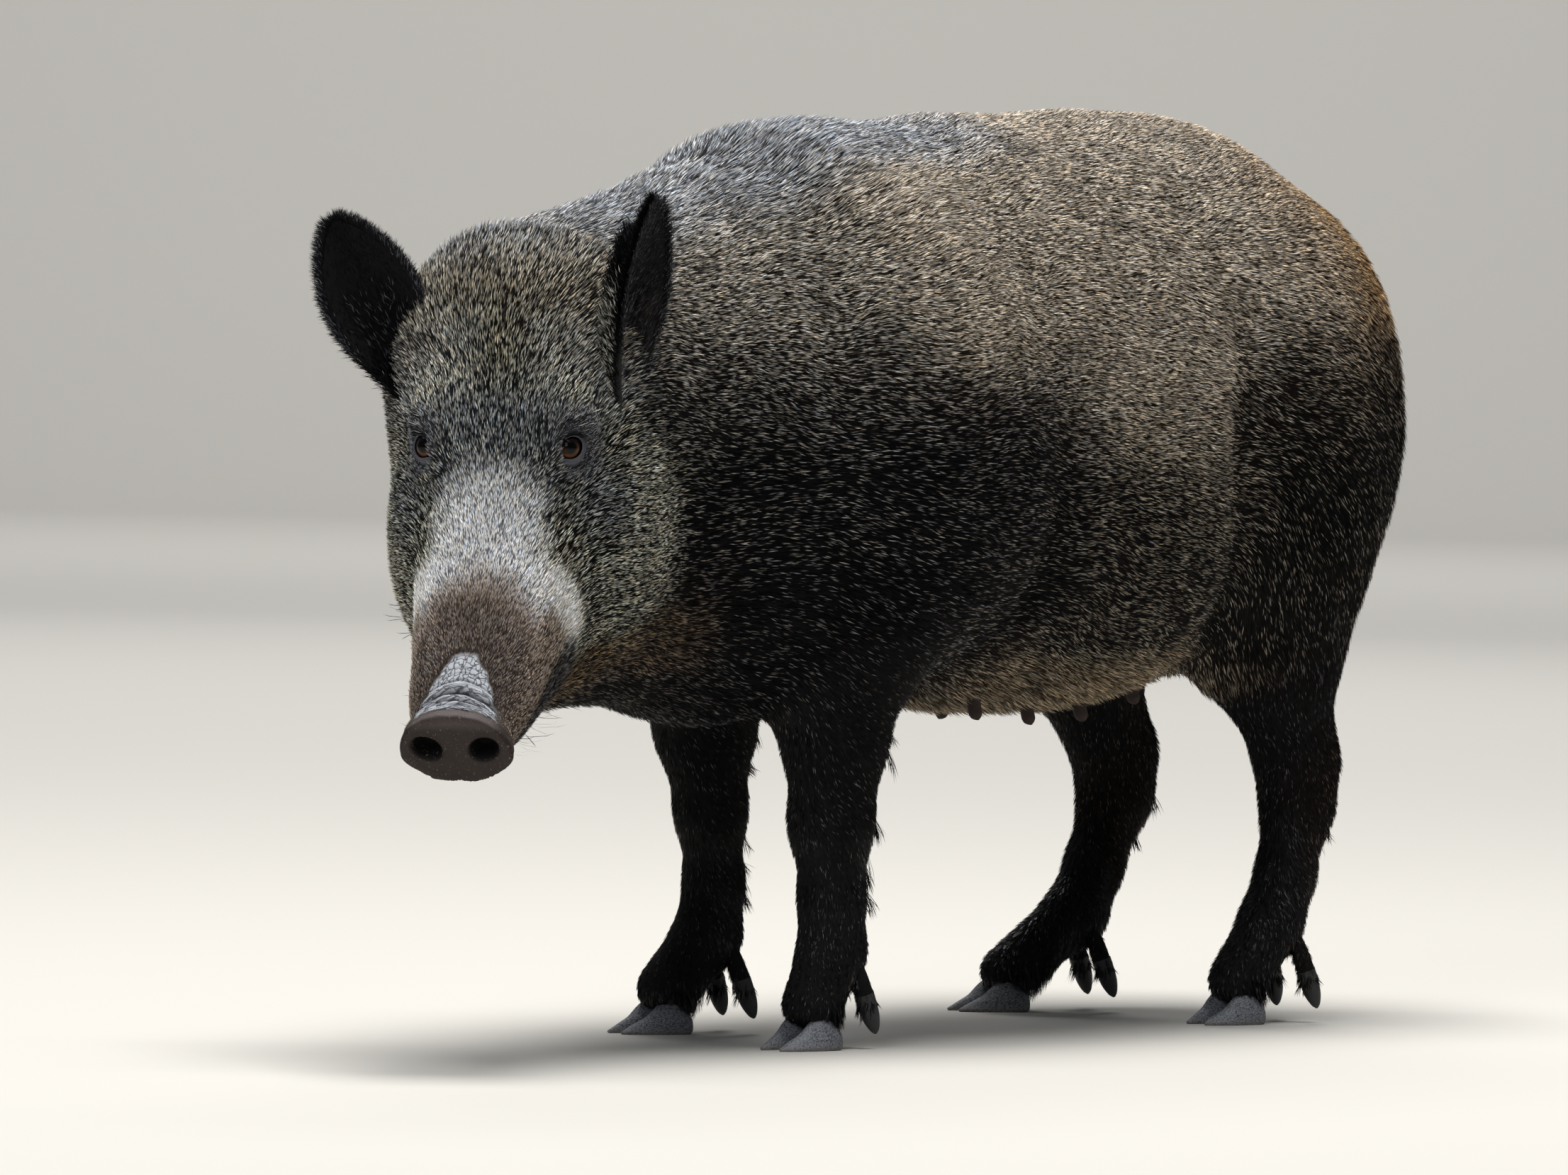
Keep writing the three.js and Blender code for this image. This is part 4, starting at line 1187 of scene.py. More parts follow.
class Finish:
    """One material, built node by node."""

    def __init__(self, name):
        self.material = bpy.data.materials.new(name)
        self.material.use_nodes = True
        self.tree = self.material.node_tree
        self.surface = self.tree.nodes["Principled BSDF"]

    def feed(self, socket, value):
        if isinstance(value, Wire):
            self.tree.links.new(value.socket, socket)
        else:
            socket.default_value = value

    def node(self, kind, settings=None, sockets=None, output=0):
        made = self.tree.nodes.new("ShaderNode" + kind)
        for key, value in (settings or {}).items():
            if key == "stops":
                ramp = made.color_ramp.elements
                while len(ramp) < len(value):
                    ramp.new(0.5)
                for stop, (place, text) in zip(ramp, value):
                    stop.position, stop.color = place, (*hexed(text), 1)
            else:
                setattr(made, key, value)
        for key, value in (sockets or {}).items():
            self.feed(made.inputs[key], value)
        return Wire(self, made.outputs[output])

    def read(self, name, output="Fac"):
        return self.node("Attribute", {"attribute_name": name}, output=output)

    def mix(self, factor, a, b):
        return self.node("Mix", {"data_type": "RGBA"}, {0: factor, 6: a, 7: b}, 2)

    def scaled(self, colour, factor):
        return self.node("VectorMath", {"operation": "SCALE"}, {0: colour, 3: factor})

    def between(self, value, low, high, to_low=0.0, to_high=1.0):
        settings = {"interpolation_type": "SMOOTHSTEP"}
        return self.node("MapRange", settings, {0: value, 1: low, 2: high, 3: to_low, 4: to_high})

    def noise(self, scale, detail=3.0, vector=None):
        sockets = {"Scale": scale, "Detail": detail}
        return self.node("TexNoise", None, {**sockets, "Vector": vector} if vector else sockets)

    def cracks(self, vector, width):
        """1 on the lines between the cells of a Voronoi pattern."""
        edges = self.node("TexVoronoi", {"feature": "DISTANCE_TO_EDGE"}, {"Vector": vector, "Scale": 1.0})
        return self.between(edges, 0.0, width, 1.0, 0.0)

    def bump(self, height, strength, distance):
        return self.node("Bump", None, {"Strength": strength, "Distance": distance, "Height": height})

    def set(self, **sockets):
        for name, value in sockets.items():
            self.feed(self.surface.inputs[name.replace("_", " ")], value)


def rgba(text):
    return (*hexed(text), 1)


# %% [markdown]
# ## The finish of the skin
#
# Under the coat the skin only has to be dark and dull. Where it is bare it shows: the disc is dark, grained
# and a little moist, with dry specks of mud. The folds behind it are pale and dry. They are cracked into
# small plates at the back and into long fine wrinkles nearer the rim, so the pattern is laid out along the
# same arch as the folds.

# %% Skin
hide = Finish("boar_skin")
bare, folded, disc = hide.read("bare"), hide.read("folded"), hide.read("disc")
arch_at, side_at = hide.read("arch"), hide.read("across")
sway = hide.noise(140.0, 3.0)
plates_at = hide.node("CombineXYZ", None, {0: side_at * 0.25 + sway * 1.2, 1: arch_at * 0.19 + sway, 2: 0.0})
wrinkles_at = hide.node("CombineXYZ", None, {
    0: side_at * 0.085 + sway * 0.8, 1: arch_at * 0.42 + sway * 1.6, 2: 3.0})
plates = hide.cracks(plates_at, 0.13) * hide.between(arch_at, 43.0, 48.0)
wrinkles = hide.cracks(wrinkles_at, 0.16) * hide.between(arch_at, 46.0, 41.0)
lines = (plates + wrinkles) * folded
grain = hide.noise(900.0, 4.0)
pores = hide.noise(2600.0, 2.0)
crumbs = hide.between(hide.noise(420.0, 5.0), 0.64, 0.68) * disc
patchy = hide.noise(60.0, 4.0)
tone = hide.scaled(hide.read("colour", "Color"), 0.55 + 0.5 * grain + 0.4 * patchy)
# Painted shade: the cracks are painted dark as well as pressed in by the bump below.
tone = hide.mix(lines * 0.85, tone, rgba("262324"))
tone = hide.mix(crumbs * 0.55, tone, rgba("8d8378"))
height = grain * (0.3 + 0.7 * bare) + pores * 0.3 * disc - lines * 2.2 + crumbs
hide.set(
    Base_Color=tone,
    Roughness=0.85 - 0.35 * hide.read("wet") - 0.2 * disc + 0.15 * folded,
    Normal=hide.bump(height, 0.55, 0.0007),
)
hide.surface.inputs["Specular IOR Level"].default_value = 0.18
mesh.materials.clear()
mesh.materials.append(hide.material)
FLESH = [n for n in frame["nodes"] if not n.startswith(("eye_", "claw_", "dewclaw_"))]
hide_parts(*FLESH)
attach(skin, "root")
print("the skin replaces", len(FLESH), "nodes")

# %% [markdown]
# ## The lie of the coat
#
# Bristles all point away from the snout: back over the face, level along the shoulder, lower and lower
# towards the rump, and down the legs. A slow noise turns them a few degrees one way and the other, which
# makes the coat part and clump as a real one does. The same function gives their length, how steeply they
# stand and how strongly they gather into locks.

# %% Lie, length and slant
face_length = curve_through([0, 20, 60, 110, 165, 260, 330, 420], [2.5, 4.5, 7.5, 9.5, 11, 12, 13, 16])
shank_length = curve_through([10, 60, 120, 200, 300, 400], [6.5, 7, 8.5, 10.5, 13, 16])
fore_fall = curve_through([20, 60, 120, 200, 300, 420], [100, 92, 68, 48, 20, 10])
hind_fall = curve_through([20, 60, 120, 200, 300, 420], [100, 92, 74, 68, 68, 64])


def coat(p, n):
    """For roots p with skin normals n: unit lie, length, slant in radians and pull into locks."""
    on_head, on_leg = shares_at(p)
    _, y, z = moved(to_upright, p).T
    side, back, up = moved(to_head, p).T
    s = np.abs(side)
    fall = 3 + 8 * rise(y, -160, 0) * rise(z, 690, 560) + 14 * rise(y, 50, 190) * rise(z, 710, 560)
    fall = fall + 24 * rise(y, 180, 340) * rise(z, 700, 460) + 55 * rise(y, 300, 400)
    thigh = rise(z, 500, 340) * rise(y, 90, 170)
    fall = fall + (60 - fall) * thigh + 3 * rise(y, -330, -420) * rise(z, 600, 450)
    down_leg = np.where(y > 0, hind_fall(z), fore_fall(z))
    fall = np.radians(fall + (down_leg - fall) * np.maximum(on_leg, 0.6 * thigh))
    along = np.stack([0 * y, np.cos(fall), -np.sin(fall)], 1)
    fan = np.clip(side / 60, -1.3, 1.3)
    cheek = rise(s, 50, 85) * rise(up, 90, 40)
    spread_out = 0.45 * fan * rise(back, 10, 60) * rise(back, 420, 330) * (1 + 0.9 * rise(back, 130, 60))
    face = np.stack([spread_out, 1 + 0 * s, 0.25 - 0.75 * cheek], 1) @ head_frame[:3, :3].T
    lie = along + (unit(face) - along) * on_head[:, None]
    lie = unit(lie - n * (lie * n).sum(1, keepdims=True))
    swing = 0.24 * noise(p, 46, 1.7) + 0.17 * noise(p, 15, 9.1)
    lie = unit(lie + np.cross(n, lie) * (swing * (1 - 0.4 * on_head))[:, None])
    crest = rise(z, 610, 700) * rise(y, -100, -330)
    belly = rise(z, 325, 268) * rise(y, -190, -120)
    length = 16 + 8 * crest + 12 * belly - 2 * rise(y, 150, 300)
    length = length + (face_length(back) - length) * on_head
    length = length + (shank_length(p[:, 2]) - length) * on_leg
    length = length * (1 - on_head * 0.62 * rise(from_eye(side, back, up, 8), 34, 14))
    slant = 0.24 + 0.05 * crest + 0.10 * belly + 0.05 * on_head - 0.10 * on_leg
    slant = slant + 0.12 * on_head * rise(back, 240, 340) * rise(up, 90, 120)
    foot = in_foot(p)
    heel = on_leg * rise(foot[:, 2], 46, 30) * rise(foot[:, 1], -8, 8)
    length = length + 9 * heel
    slant = slant + 0.40 * heel
    pull = 0.16 + 0.20 * on_leg - 0.04 * on_head + 0.2 * rise(p[:, 2], 110, 60)
    return lie, length, slant, pull


# %% [markdown]
# ## Tufts as mesh
#
# Three kinds of tuft share one function. A spike is one triangle, wide at the root: many of them make the
# dark body of the coat. A leaf is two triangles, widest near its tip, and carries the pale end that makes
# the coat grizzled. A strand has a few more bends and serves for the long hair on the ears, tail, lips and
# legs. The map named OFBake gives each tuft a patch of its own at its root's place on an unwrap of that
# part of the body.


# %% Build tufts
class Hairs:
    """Arrays of equal length, one entry for each tuft."""

    def __init__(self, **arrays):
        self.arrays = arrays

    def __getattr__(self, name):
        return self.arrays[name]


PATCH = 0.003
SPIKE, LEAF, STRAND = (), (0.70,), (0.3, 0.68)


def blades(h, rows, bow, rng):
    """Points of every tuft in turn, how far along the tuft each is, its place on the unwrap, and faces."""
    count = len(h.root)
    length = np.linalg.norm(h.reach, axis=1)
    side = unit(np.cross(h.reach, h.normal))
    roll = rng.normal(0, 0.5, count)[:, None]
    side = side * np.cos(roll) + h.normal * np.sin(roll)
    points, along, uv = [], [], []
    for t in (0.0, *rows, 1.0):
        lift = 4 * bow * length * t * (1 - t) - 0.8 * (1 - t)
        middle = h.root + h.reach * t + h.normal * lift[:, None]
        tip = t == 1 or (t == 0 and rows)
        for edge in ((0,) if tip else (-1, 1)):
            points.append(middle + side * (0.5 * edge * h.width)[:, None])
            along.append(np.full(count, t))
            uv.append(h.uv + [(t - 0.5) * PATCH, edge * PATCH / 2])
    size = len(points)
    points, uv = np.stack(points, 1).reshape(-1, 3), np.stack(uv, 1).reshape(-1, 2)
    pattern = [(0, 1, 2)]
    for r in range(len(rows) - 1):
        a = 1 + 2 * r
        pattern += [(a, a + 2, a + 1), (a + 1, a + 2, a + 3)]
    if rows:
        pattern.append((size - 3, size - 1, size - 2))
    faces = (np.arange(count)[:, None, None] * size + np.array(pattern)[None]).reshape(-1, 3)
    return points, np.stack(along, 1).ravel(), uv, faces, size


def coat_piece(name, slot, batches, rng, bow=0.05):
    """Joins batches of tufts into one mesh. A batch is its tufts and their kind."""
    start, stacks = 0, {key: [] for key in ("points", "along", "uv", "faces", "pick", "root", "tip", "gloss")}
    for h, rows in batches:
        points, along, uv, faces, size = blades(h, rows, bow, rng)
        made = {"points": points, "along": along, "uv": uv, "faces": faces + start,
                "pick": np.repeat(rng.random(len(h.root)), size), "root": np.repeat(h.dark, size, 0),
                "tip": np.repeat(h.tip, size, 0), "gloss": np.repeat(h.gloss, size)}
        start += len(points)
        for key, value in made.items():
            stacks[key].append(value)
    joined = {key: np.concatenate(value) for key, value in stacks.items()}
    faces = joined["faces"]
    mesh = new_mesh(name, joined["points"], faces)
    layer = mesh.uv_layers.new(name="OFBake")
    layer.data.foreach_set("uv", joined["uv"][faces.ravel()].astype(np.float32).ravel())
    painted(mesh, **{key: joined[key] for key in ("along", "pick", "root", "tip", "gloss")})
    ob = shown(name, mesh)
    mesh.materials.append(coat_finish.material)
    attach(ob, "root")
    print(name, sum(len(h.root) for h, _ in batches), "tufts", len(faces), "triangles")


# %% [markdown]
# ## The finish of the coat
#
# Each tuft carries its own root and tip colour. The change from one to the other comes at a slightly
# different height on each, and each is a little lighter or darker than its neighbour. Bristles are smooth
# and stiff, so they have a soft gloss rather than a velvet look, and more of it where mud and water have
# slicked them down.

# %% Coat
coat_finish = Finish("boar_coat")
along, pick, gloss = (coat_finish.read(name) for name in ("along", "pick", "gloss"))
banded = coat_finish.between(along - 0.18 * pick, 0.42, 0.66)
tone = coat_finish.mix(banded, coat_finish.read("root", "Color"), coat_finish.read("tip", "Color"))
coat_finish.set(
    Base_Color=coat_finish.scaled(tone, 0.75 + 0.45 * pick),
    Roughness=0.62 - 0.36 * gloss + 0.12 * pick,
    Coat_Weight=coat_finish.between(gloss, 0.45, 0.95, 0.0, 0.55),
)
coat_finish.surface.inputs["Specular IOR Level"].default_value = 0.07
coat_finish.surface.inputs["Coat Roughness"].default_value = 0.3
print("nodes in the coat's finish:", len(coat_finish.tree.nodes))

# %% [markdown]
# ## Plant the roots
#
# Roots are scattered over the skin's triangles: dark spikes closest on the face, wider on the legs and
# widest on the trunk, and pale leaves as many as the markings ask for. Each region becomes a coat piece of
# its own, small enough to handle, with its own unwrap: an angle round that part of the body against the
# distance along it.

# %% Scatter roots on the skin
THINNING = 1.0
mesh.calc_loop_triangles()
corners = numbers(mesh.loop_triangles, "vertices", 3, np.int32)
p = numbers(mesh.vertices, "co", 3) / MM - ORIGIN_SHIFT
vertex_normal = numbers(mesh.vertices, "normal", 3)
bare_points = numbers(mesh.attributes["bare"].data, "value", 1)
corners = corners[(corners < body_count + haired_extras).all(1)]
a, b, c = (p[corners[:, k]] for k in range(3))
area = np.linalg.norm(np.cross(b - a, c - a), axis=1) / 2
centre = (a + b + c) / 3
print("skin area:", round(float(area.sum()) / 1e6, 3), "m2")


TRUNK_ROOM, LEG_ROOM, SNOUT_ROOM, CHEEK_EXTRA_ROOM = 3.6, 2.0, 1.2, 0.7  # square millimetres


def spike_room(p):
    """Square millimetres of skin for each dark spike."""
    on_head, on_leg = shares_at(p)
    face_room = SNOUT_ROOM + CHEEK_EXTRA_ROOM * rise(moved(to_head, p)[:, 1], 60, 200)
    room = TRUNK_ROOM + (face_room - TRUNK_ROOM) * on_head
    return room + (1 - on_head) * on_leg * (LEG_ROOM - room)


def scattered(expected, rng):
    """Random places on the skin's triangles, with their normals."""
    owner = np.repeat(np.arange(len(corners)), rng.poisson(expected))
    r1, r2 = np.sqrt(rng.random(len(owner))), rng.random(len(owner))
    weight = np.stack([1 - r1, r1 * (1 - r2), r1 * r2], 1).astype(np.float32)
    root = sum(weight[:, k:k + 1] * p[corners[owner, k]] for k in range(3))
    normal = unit(sum(weight[:, k:k + 1] * vertex_normal[corners[owner, k]] for k in range(3)))
    return root, normal


rng = np.random.default_rng(2)
covered = area * THINNING * rise(bare_points[corners].mean(1), 0.7, 0.4)
spikes = scattered(covered / spike_room(centre), rng)
leaves = scattered(covered * markings(centre)[2], rng)
roots, normals = (np.concatenate(pair) for pair in zip(spikes, leaves))
is_leaf = np.arange(len(roots)) >= len(spikes[0])
told("spikes:", len(spikes[0]), "leaves:", len(leaves[0]))

# %% Comb, colour and gather them
lie, length, slant, pull = coat(roots, normals)
dark, pale, thickness = markings(roots)
count = len(roots)
length = length * rng.uniform(0.7, 1.2, count)
slant = slant * rng.uniform(0.45, 1.5, count)
lie = unit(lie + np.cross(normals, lie) * rng.normal(0, 0.10, count)[:, None])
reach = lie * (np.cos(slant) * length)[:, None] + normals * (np.sin(slant) * length)[:, None]


def into_locks(root, reach, pull, size):
    """Pulls each tip towards the mean tip of its lock, and gives the number of the lock too."""
    wander = np.stack([noise(root, 3 * size, k) for k in (1.0, 11.0, 21.0)], 1) * size
    cell = np.floor((root + wander) / size).astype(np.int64) + 1000
    _, lock = np.unique((cell[:, 0] * 4096 + cell[:, 1]) * 4096 + cell[:, 2], return_inverse=True)
    number = np.bincount(lock)
    tip = root + reach
    mean = np.stack([np.bincount(lock, tip[:, k]) / number for k in range(3)], 1)
    return tip + (mean[lock] - tip) * pull[:, None] - root, lock


LOCK_SIZE = 7.0
OVER_FLOOR = 1.5
reach, lock = into_locks(roots, reach, pull, LOCK_SIZE)
reach[:, 2] = np.maximum(reach[:, 2], OVER_FLOOR - roots[:, 2])
lock_shade = rng.uniform(0.82, 1.18, lock.max() + 1)[lock]
patchy = np.clip(0.5 + 0.9 * noise(roots, 14, 4.4), 0, 1)
glow = (0.22 + 0.95 * rng.random(count) ** 1.4) * (0.7 + 0.4 * patchy) * lock_shade
glow = glow + (1.05 - glow) * 0.75 * rise(thickness, 0.40, 0.75)
tint = 1 + rng.normal(0, 0.06, (count, 1)) * [1, 0.1, -1.2]
dark_tip = dark * (rng.uniform(0.9, 2.0, count) * lock_shade)[:, None]
tip = np.where(is_leaf[:, None], pale * np.minimum(glow, 1.15)[:, None] * tint, dark_tip)
width = np.where(is_leaf, np.minimum(0.34 + 0.030 * length, 0.86), 0.50 + 0.035 * length)
gloss = 0.35 + 0.6 * rise(roots[:, 2], 240, 90) * np.clip(0.7 + 0.8 * noise(roots, 22, 8.2), 0, 1)

# %% Sort them into regions
on_head, on_leg = shares_at(roots)
x, y, z = moved(to_upright, roots).T
side, back, up = moved(to_head, roots).T
is_head = on_head > 0.5
is_leg = (on_leg > 0.5) & ~is_head
trunk = ~is_head & ~is_leg
REGIONS = {
    "coat_muzzle": is_head & (back < 175),
    "coat_face": is_head & (back >= 175) & (back < 300),
    "coat_poll": is_head & (back >= 300),
    "coat_neck_left": trunk & (y < -300) & (x >= 0),
    "coat_neck_right": trunk & (y < -300) & (x < 0),
    "coat_shoulder_left": trunk & (y >= -300) & (y < -40) & (x >= 0),
    "coat_shoulder_right": trunk & (y >= -300) & (y < -40) & (x < 0),
    "coat_flank_left": trunk & (y >= -40) & (y < 200) & (x >= 0),
    "coat_flank_right": trunk & (y >= -40) & (y < 200) & (x < 0),
    "coat_rump_left": trunk & (y >= 200) & (x >= 0),
    "coat_rump_right": trunk & (y >= 200) & (x < 0),
    "coat_forelegs": is_leg & (y < 0),
    "coat_hindlegs": is_leg & (y >= 0),
}


def spread(value):
    low, high = value.min(), value.max()
    return 0.01 + 0.98 * (value - low) / max(high - low, 1e-6)


def unwrap(name, chosen):
    """Where each root lies on the unwrap of its region, from 0 to 1."""
    if name in ("coat_muzzle", "coat_face", "coat_poll"):
        return np.stack([spread(np.arctan2(side[chosen], -(up[chosen] + 20))), spread(back[chosen])], 1)
    if "legs" in name:
        left = x[chosen] > 0
        middle = [np.median(roots[chosen][left == k], axis=0) for k in (False, True)]
        middle = np.where(left[:, None], middle[1], middle[0])
        angle = np.arctan2(*(roots[chosen] - middle).T[:2]) / (2 * math.pi) + 0.5
        return np.stack([0.01 + 0.48 * angle + 0.5 * left, spread(z[chosen])], 1)
    return np.stack([spread(np.arctan2(np.abs(x[chosen]), z[chosen] - 470)), spread(y[chosen])], 1)


for name, chosen in REGIONS.items():
    place = unwrap(name, chosen)
    batches = []
    for kind, rows in ((False, SPIKE), (True, LEAF)):
        own = is_leaf[chosen] == kind
        pick = np.nonzero(chosen)[0][own]
        batches.append((Hairs(root=roots[pick], normal=normals[pick], reach=reach[pick], width=width[pick],
                              dark=dark[pick], tip=tip[pick], gloss=gloss[pick], uv=place[own]), rows))
    coat_piece(name, "black_coat" if "legs" in name else "grizzled_coat", batches, rng)

# %% [markdown]
# ## Hair of the ears
#
# The root of an ear is grey like the poll. Further out the ear turns black, early on her right ear and
# later on her left, with shag on its back, shorter hair in its cup and a fine fringe along its rim. Roots
# are placed straight on the ear's own leaf shape, whose two directions also give the unwrap.


# %% Ear hair
def on_ear(ear, u, v, face):
    """Root, outward normal, way to the tip, way to the nearer edge and place on the unwrap."""
    root, other = ear_point(ear, u, v, face), ear_point(ear, u, v, -face)
    _, _, axis, _, across = ear_frames[ear]
    place = np.stack([0.01 + 0.24 * (v + 1) + 0.5 * (face > 0), 0.02 + 0.75 * (u + 0.3)], 1)
    return root, unit(root - other), axis, across * np.sign(v)[:, None], place


DRY_GLOSS = 0.35


def hairs_on(place, way, length, slant, spread_of, colours, width, rng):
    """Hairs from roots on any surface, along a way, leaning out by the slant."""
    root, normal, uv = place
    count = len(root)
    way = unit(way + rng.normal(0, spread_of, (count, 3)))
    flat = unit(way - normal * (way * normal).sum(1, keepdims=True))
    length = length * rng.uniform(0.65, 1.2, count)
    slant = slant * rng.uniform(0.6, 1.4, count)
    reach = flat * (np.cos(slant) * length)[:, None] + normal * (np.sin(slant) * length)[:, None]
    dark, pale, share = hexed(colours[0]), hexed(colours[1]), colours[2]
    pick = (rng.random(count) < share)[:, None]
    tip = np.where(pick, pale * rng.uniform(0.5, 1.1, (count, 1)), dark * rng.uniform(0.9, 2.0, (count, 1)))
    width = width * rng.uniform(0.8, 1.2, count)
    return Hairs(root=root, normal=normal, reach=reach, width=width, dark=np.repeat(dark[None], count, 0),
                 tip=tip, gloss=np.full(count, DRY_GLOSS), uv=uv)


EAR_LOOKS = {  # length of the shag, colours in the cup, where the black begins
    "right": (14, ("050506", "2c2c31", 0.12), 0.05),
    "left": (22, ("1c1c20", "6c6c76", 0.50), 0.34)}


def ear_coat(ear, rng):
    batches = []
    shag, cup, black_from = EAR_LOOKS[ear]

    def add(count, u_range, v_range, face, way_mix, length, slant, spread_of, colours, width, rows):
        count = int(count * THINNING)
        u = np.clip(rng.uniform(*u_range, count) + rng.normal(0, 0.05, count), -0.25, 0.99)
        v = rng.uniform(*v_range, count) * rng.choice([-1, 1], count)
        root, normal, axis, outward, place = on_ear(ear, u, v, face)
        way = axis * way_mix[0] + outward * way_mix[1] * np.abs(v)[:, None]
        hairs = hairs_on((root, normal, place), way, length, slant, spread_of, colours, width, rng)
        batches.append((hairs, rows))

    black, grey = ("070708", "4c4d53", 0.10), ("141414", "d8d6ca", 0.60)
    add(7000, (black_from, 0.98), (0, 1), -1, (0.9, 0.35), 12, 0.36, 0.22, black, 0.8, SPIKE)
    add(3000, (black_from, 0.72), (0, 0.9), -1, (0.9, 0.3), shag, 0.45, 0.25, black, 0.5, STRAND)
    add(4600, (black_from - 0.15, 0.99), (0, 1), 1, (0.9, 0.3), 7, 0.35, 0.25, cup, 0.7, SPIKE)
    add(420, (0.0, 0.5), (0, 0.6), 1, (0.9, 0.5), 15, 0.5, 0.3, ("0c0c0e", "6b6c70", 0.4), 0.4, STRAND)
    add(3400, (0.2, 1.0), (0.93, 1), 1, (0.8, 0.7), 11, 0.3, 0.3, ("141417", "77787e", 0.30), 0.36, STRAND)
    add(2200, (black_from, 1.0), (0.92, 1), -1, (0.9, 0.8), 9, 0.3, 0.3, black, 0.34, STRAND)
    add(1800, (-0.2, black_from), (0, 1), 1, (0.9, 0.5), 13, 0.4, 0.3, cup, 0.5, STRAND)
    add(4200, (-0.2, black_from + 0.10), (0, 1), -1, (0.9, 0.5), 17, 0.4, 0.25, grey, 0.62, STRAND)
    coat_piece("coat_ear_" + ear, "black_coat", batches, rng, bow=0.08)


for ear in EARS:
    ear_coat(ear, rng)

# %% [markdown]
# ## Tail
#
# The tail is thin and straight, with short hair at its root and a tassel of long hairs that begins halfway
# down. It ends a little above the hocks, and as the hairs differ in length the tassel ends in a point.

# %% Tail hair
steps = rng.uniform(0.0, 1.0, int(5200 * THINNING))
turned = rng.uniform(0, 2 * math.pi, len(steps))
at = steps * (len(tail_path) - 2)
below = at.astype(int)
blend = (at - below)[:, None]
spine_at = tail_path[below] * (1 - blend) + tail_path[below + 1] * blend
down = unit(tail_path[below + 1] - tail_path[below])
radius_at = np.interp(at, np.arange(40), tail_radii)
out = np.stack([np.cos(turned), np.sin(turned), 0 * turned], 1)
out = unit(out - down * (out * down).sum(1, keepdims=True))
tail_uv = np.stack([0.02 + 0.95 * turned / 7, 0.02 + 0.95 * steps], 1)
tail_place = (spine_at + out * radius_at[:, None], out, tail_uv)
tassel = rise(steps, 0.40, 0.62)
tail_length = 12 + tassel * 44 * rng.random(len(steps)) ** 1.6
tail_hairs = hairs_on(tail_place, down, tail_length, 0.22 - 0.06 * tassel, 0.06,
                      ("0c0a09", "6f5c48", 0.22), 0.8, rng)
coat_piece("coat_tail", "black_coat", [(tail_hairs, STRAND)], rng, bow=0.03)

# %% [markdown]
# ## Lashes, whiskers and ragged locks
#
# Long hairs grow singly: lashes on the upper lid, brow hairs above it, and whiskers on the lips and jaw.
# The back of each leg carries locks that dry into points, most of them on the forelegs. Apart from the
# lashes, every long hair starts from a root that is already on the skin, chosen by where it is.


# %% Long single hairs and pointed locks
def pick_roots(wanted, count):
    found = np.nonzero(wanted)[0]
    return rng.choice(found, min(count, len(found)), replace=False)


def head_way(way):
    return np.array([way], float) @ head_frame[:3, :3].T


def long_hairs(chosen, way, length, slant, spread_of, colours, width):
    uv = np.stack([spread(roots[chosen, 0]), spread(roots[chosen, 2])], 1)
    place = (roots[chosen], normals[chosen], uv)
    return hairs_on(place, way, length, slant, spread_of, colours, width, rng)


singles = []
WHISKER_WIDTH, LASH_OUT = 0.42, 9.0
for s in BOTH:
    sided = is_head & (side * s > 0)
    centre, look, inward, over = eye_axes(s)
    from_centre = np.stack([side, back, up], 1) - centre
    height, along_lid = from_centre @ over, from_centre @ inward
    for chosen, count, way, length, slant, spread_of, colours in (
        (sided & (back > 35) & (back < 120) & (up < -22) & (up > -62), 26,
         (s * 0.9, 0.5, -0.7), 30, 0.75, 0.35, ("0c0b0b", "3b3532", 0.3)),  # lip
        (sided & (back > 120) & (back < 260) & (up < -50), 60,
         (s * 0.5, 1.0, -0.6), 24, 0.6, 0.3, ("1a1512", "8a7458", 0.5)),  # jaw
        (sided & (height > 12) & (height < 22) & (np.abs(along_lid) < 15), 46,
         (s * 0.9, 0.7, -0.1), 21, 0.45, 0.25, ("101012", "b9b8b2", 0.5)),  # brow
    ):
        chosen = pick_roots(chosen, count)
        singles.append(long_hairs(chosen, head_way(way), length, slant, spread_of, colours, WHISKER_WIDTH))
    angle = np.linspace(0.9, 2.9, int(44 * THINNING) + 4)
    wide, tall = lid_outline(angle)
    rim = centre + np.outer(wide * 1.12, inward) + np.outer(tall * 1.12, over) + look * LASH_OUT
    lash_normal = unit(np.outer(wide, inward) + np.outer(tall, over) + look * LASH_OUT)
    lash_uv = np.stack([spread(angle), 0 * angle + 0.5], 1)
    lash_place = (moved(head_frame, rim), lash_normal @ head_frame[:3, :3].T, lash_uv)
    singles.append(hairs_on(lash_place, head_way((s * 0.8, 0.1, -0.25)), 9.5, 0.75, 0.15,
                            ("0a0a0b", "6c6c6c", 0.2), 0.40, rng))
coat_piece("lashes_and_whiskers", "black_coat", [(h, STRAND) for h in singles], rng, bow=0.10)

ragged = []
for name, leg in LEGS.items():
    low, high, count = (110, 330, 34) if name.startswith("fore") else (60, 170, 5)
    local = is_leg & (np.abs(x - leg[0]) < 80) & (np.abs(y - leg[1]) < 110)
    rear = local & (normals[:, 1] > 0.75) & (z > low) & (z < high)
    for seed in pick_roots(rear, count):
        near = np.nonzero(rear & (np.linalg.norm(roots - roots[seed], axis=1) < 6))[0]
        near = near[rng.random(len(near)) < 0.5]
        point = roots[seed] + np.array([rng.normal(0, 3), rng.uniform(6, 12), rng.uniform(-24, -13)])
        locks = long_hairs(near, np.array([[0, 0.5, -1.0]]), 20, 0.3, 0.1, ("080707", "241d18", 0.3), 0.6)
        locks.arrays["reach"] = point - locks.root + rng.normal(0, 2.4, (len(near), 3))
        ragged.append((locks, STRAND))
coat_piece("ragged_locks", "black_coat", ragged, rng, bow=0.06)

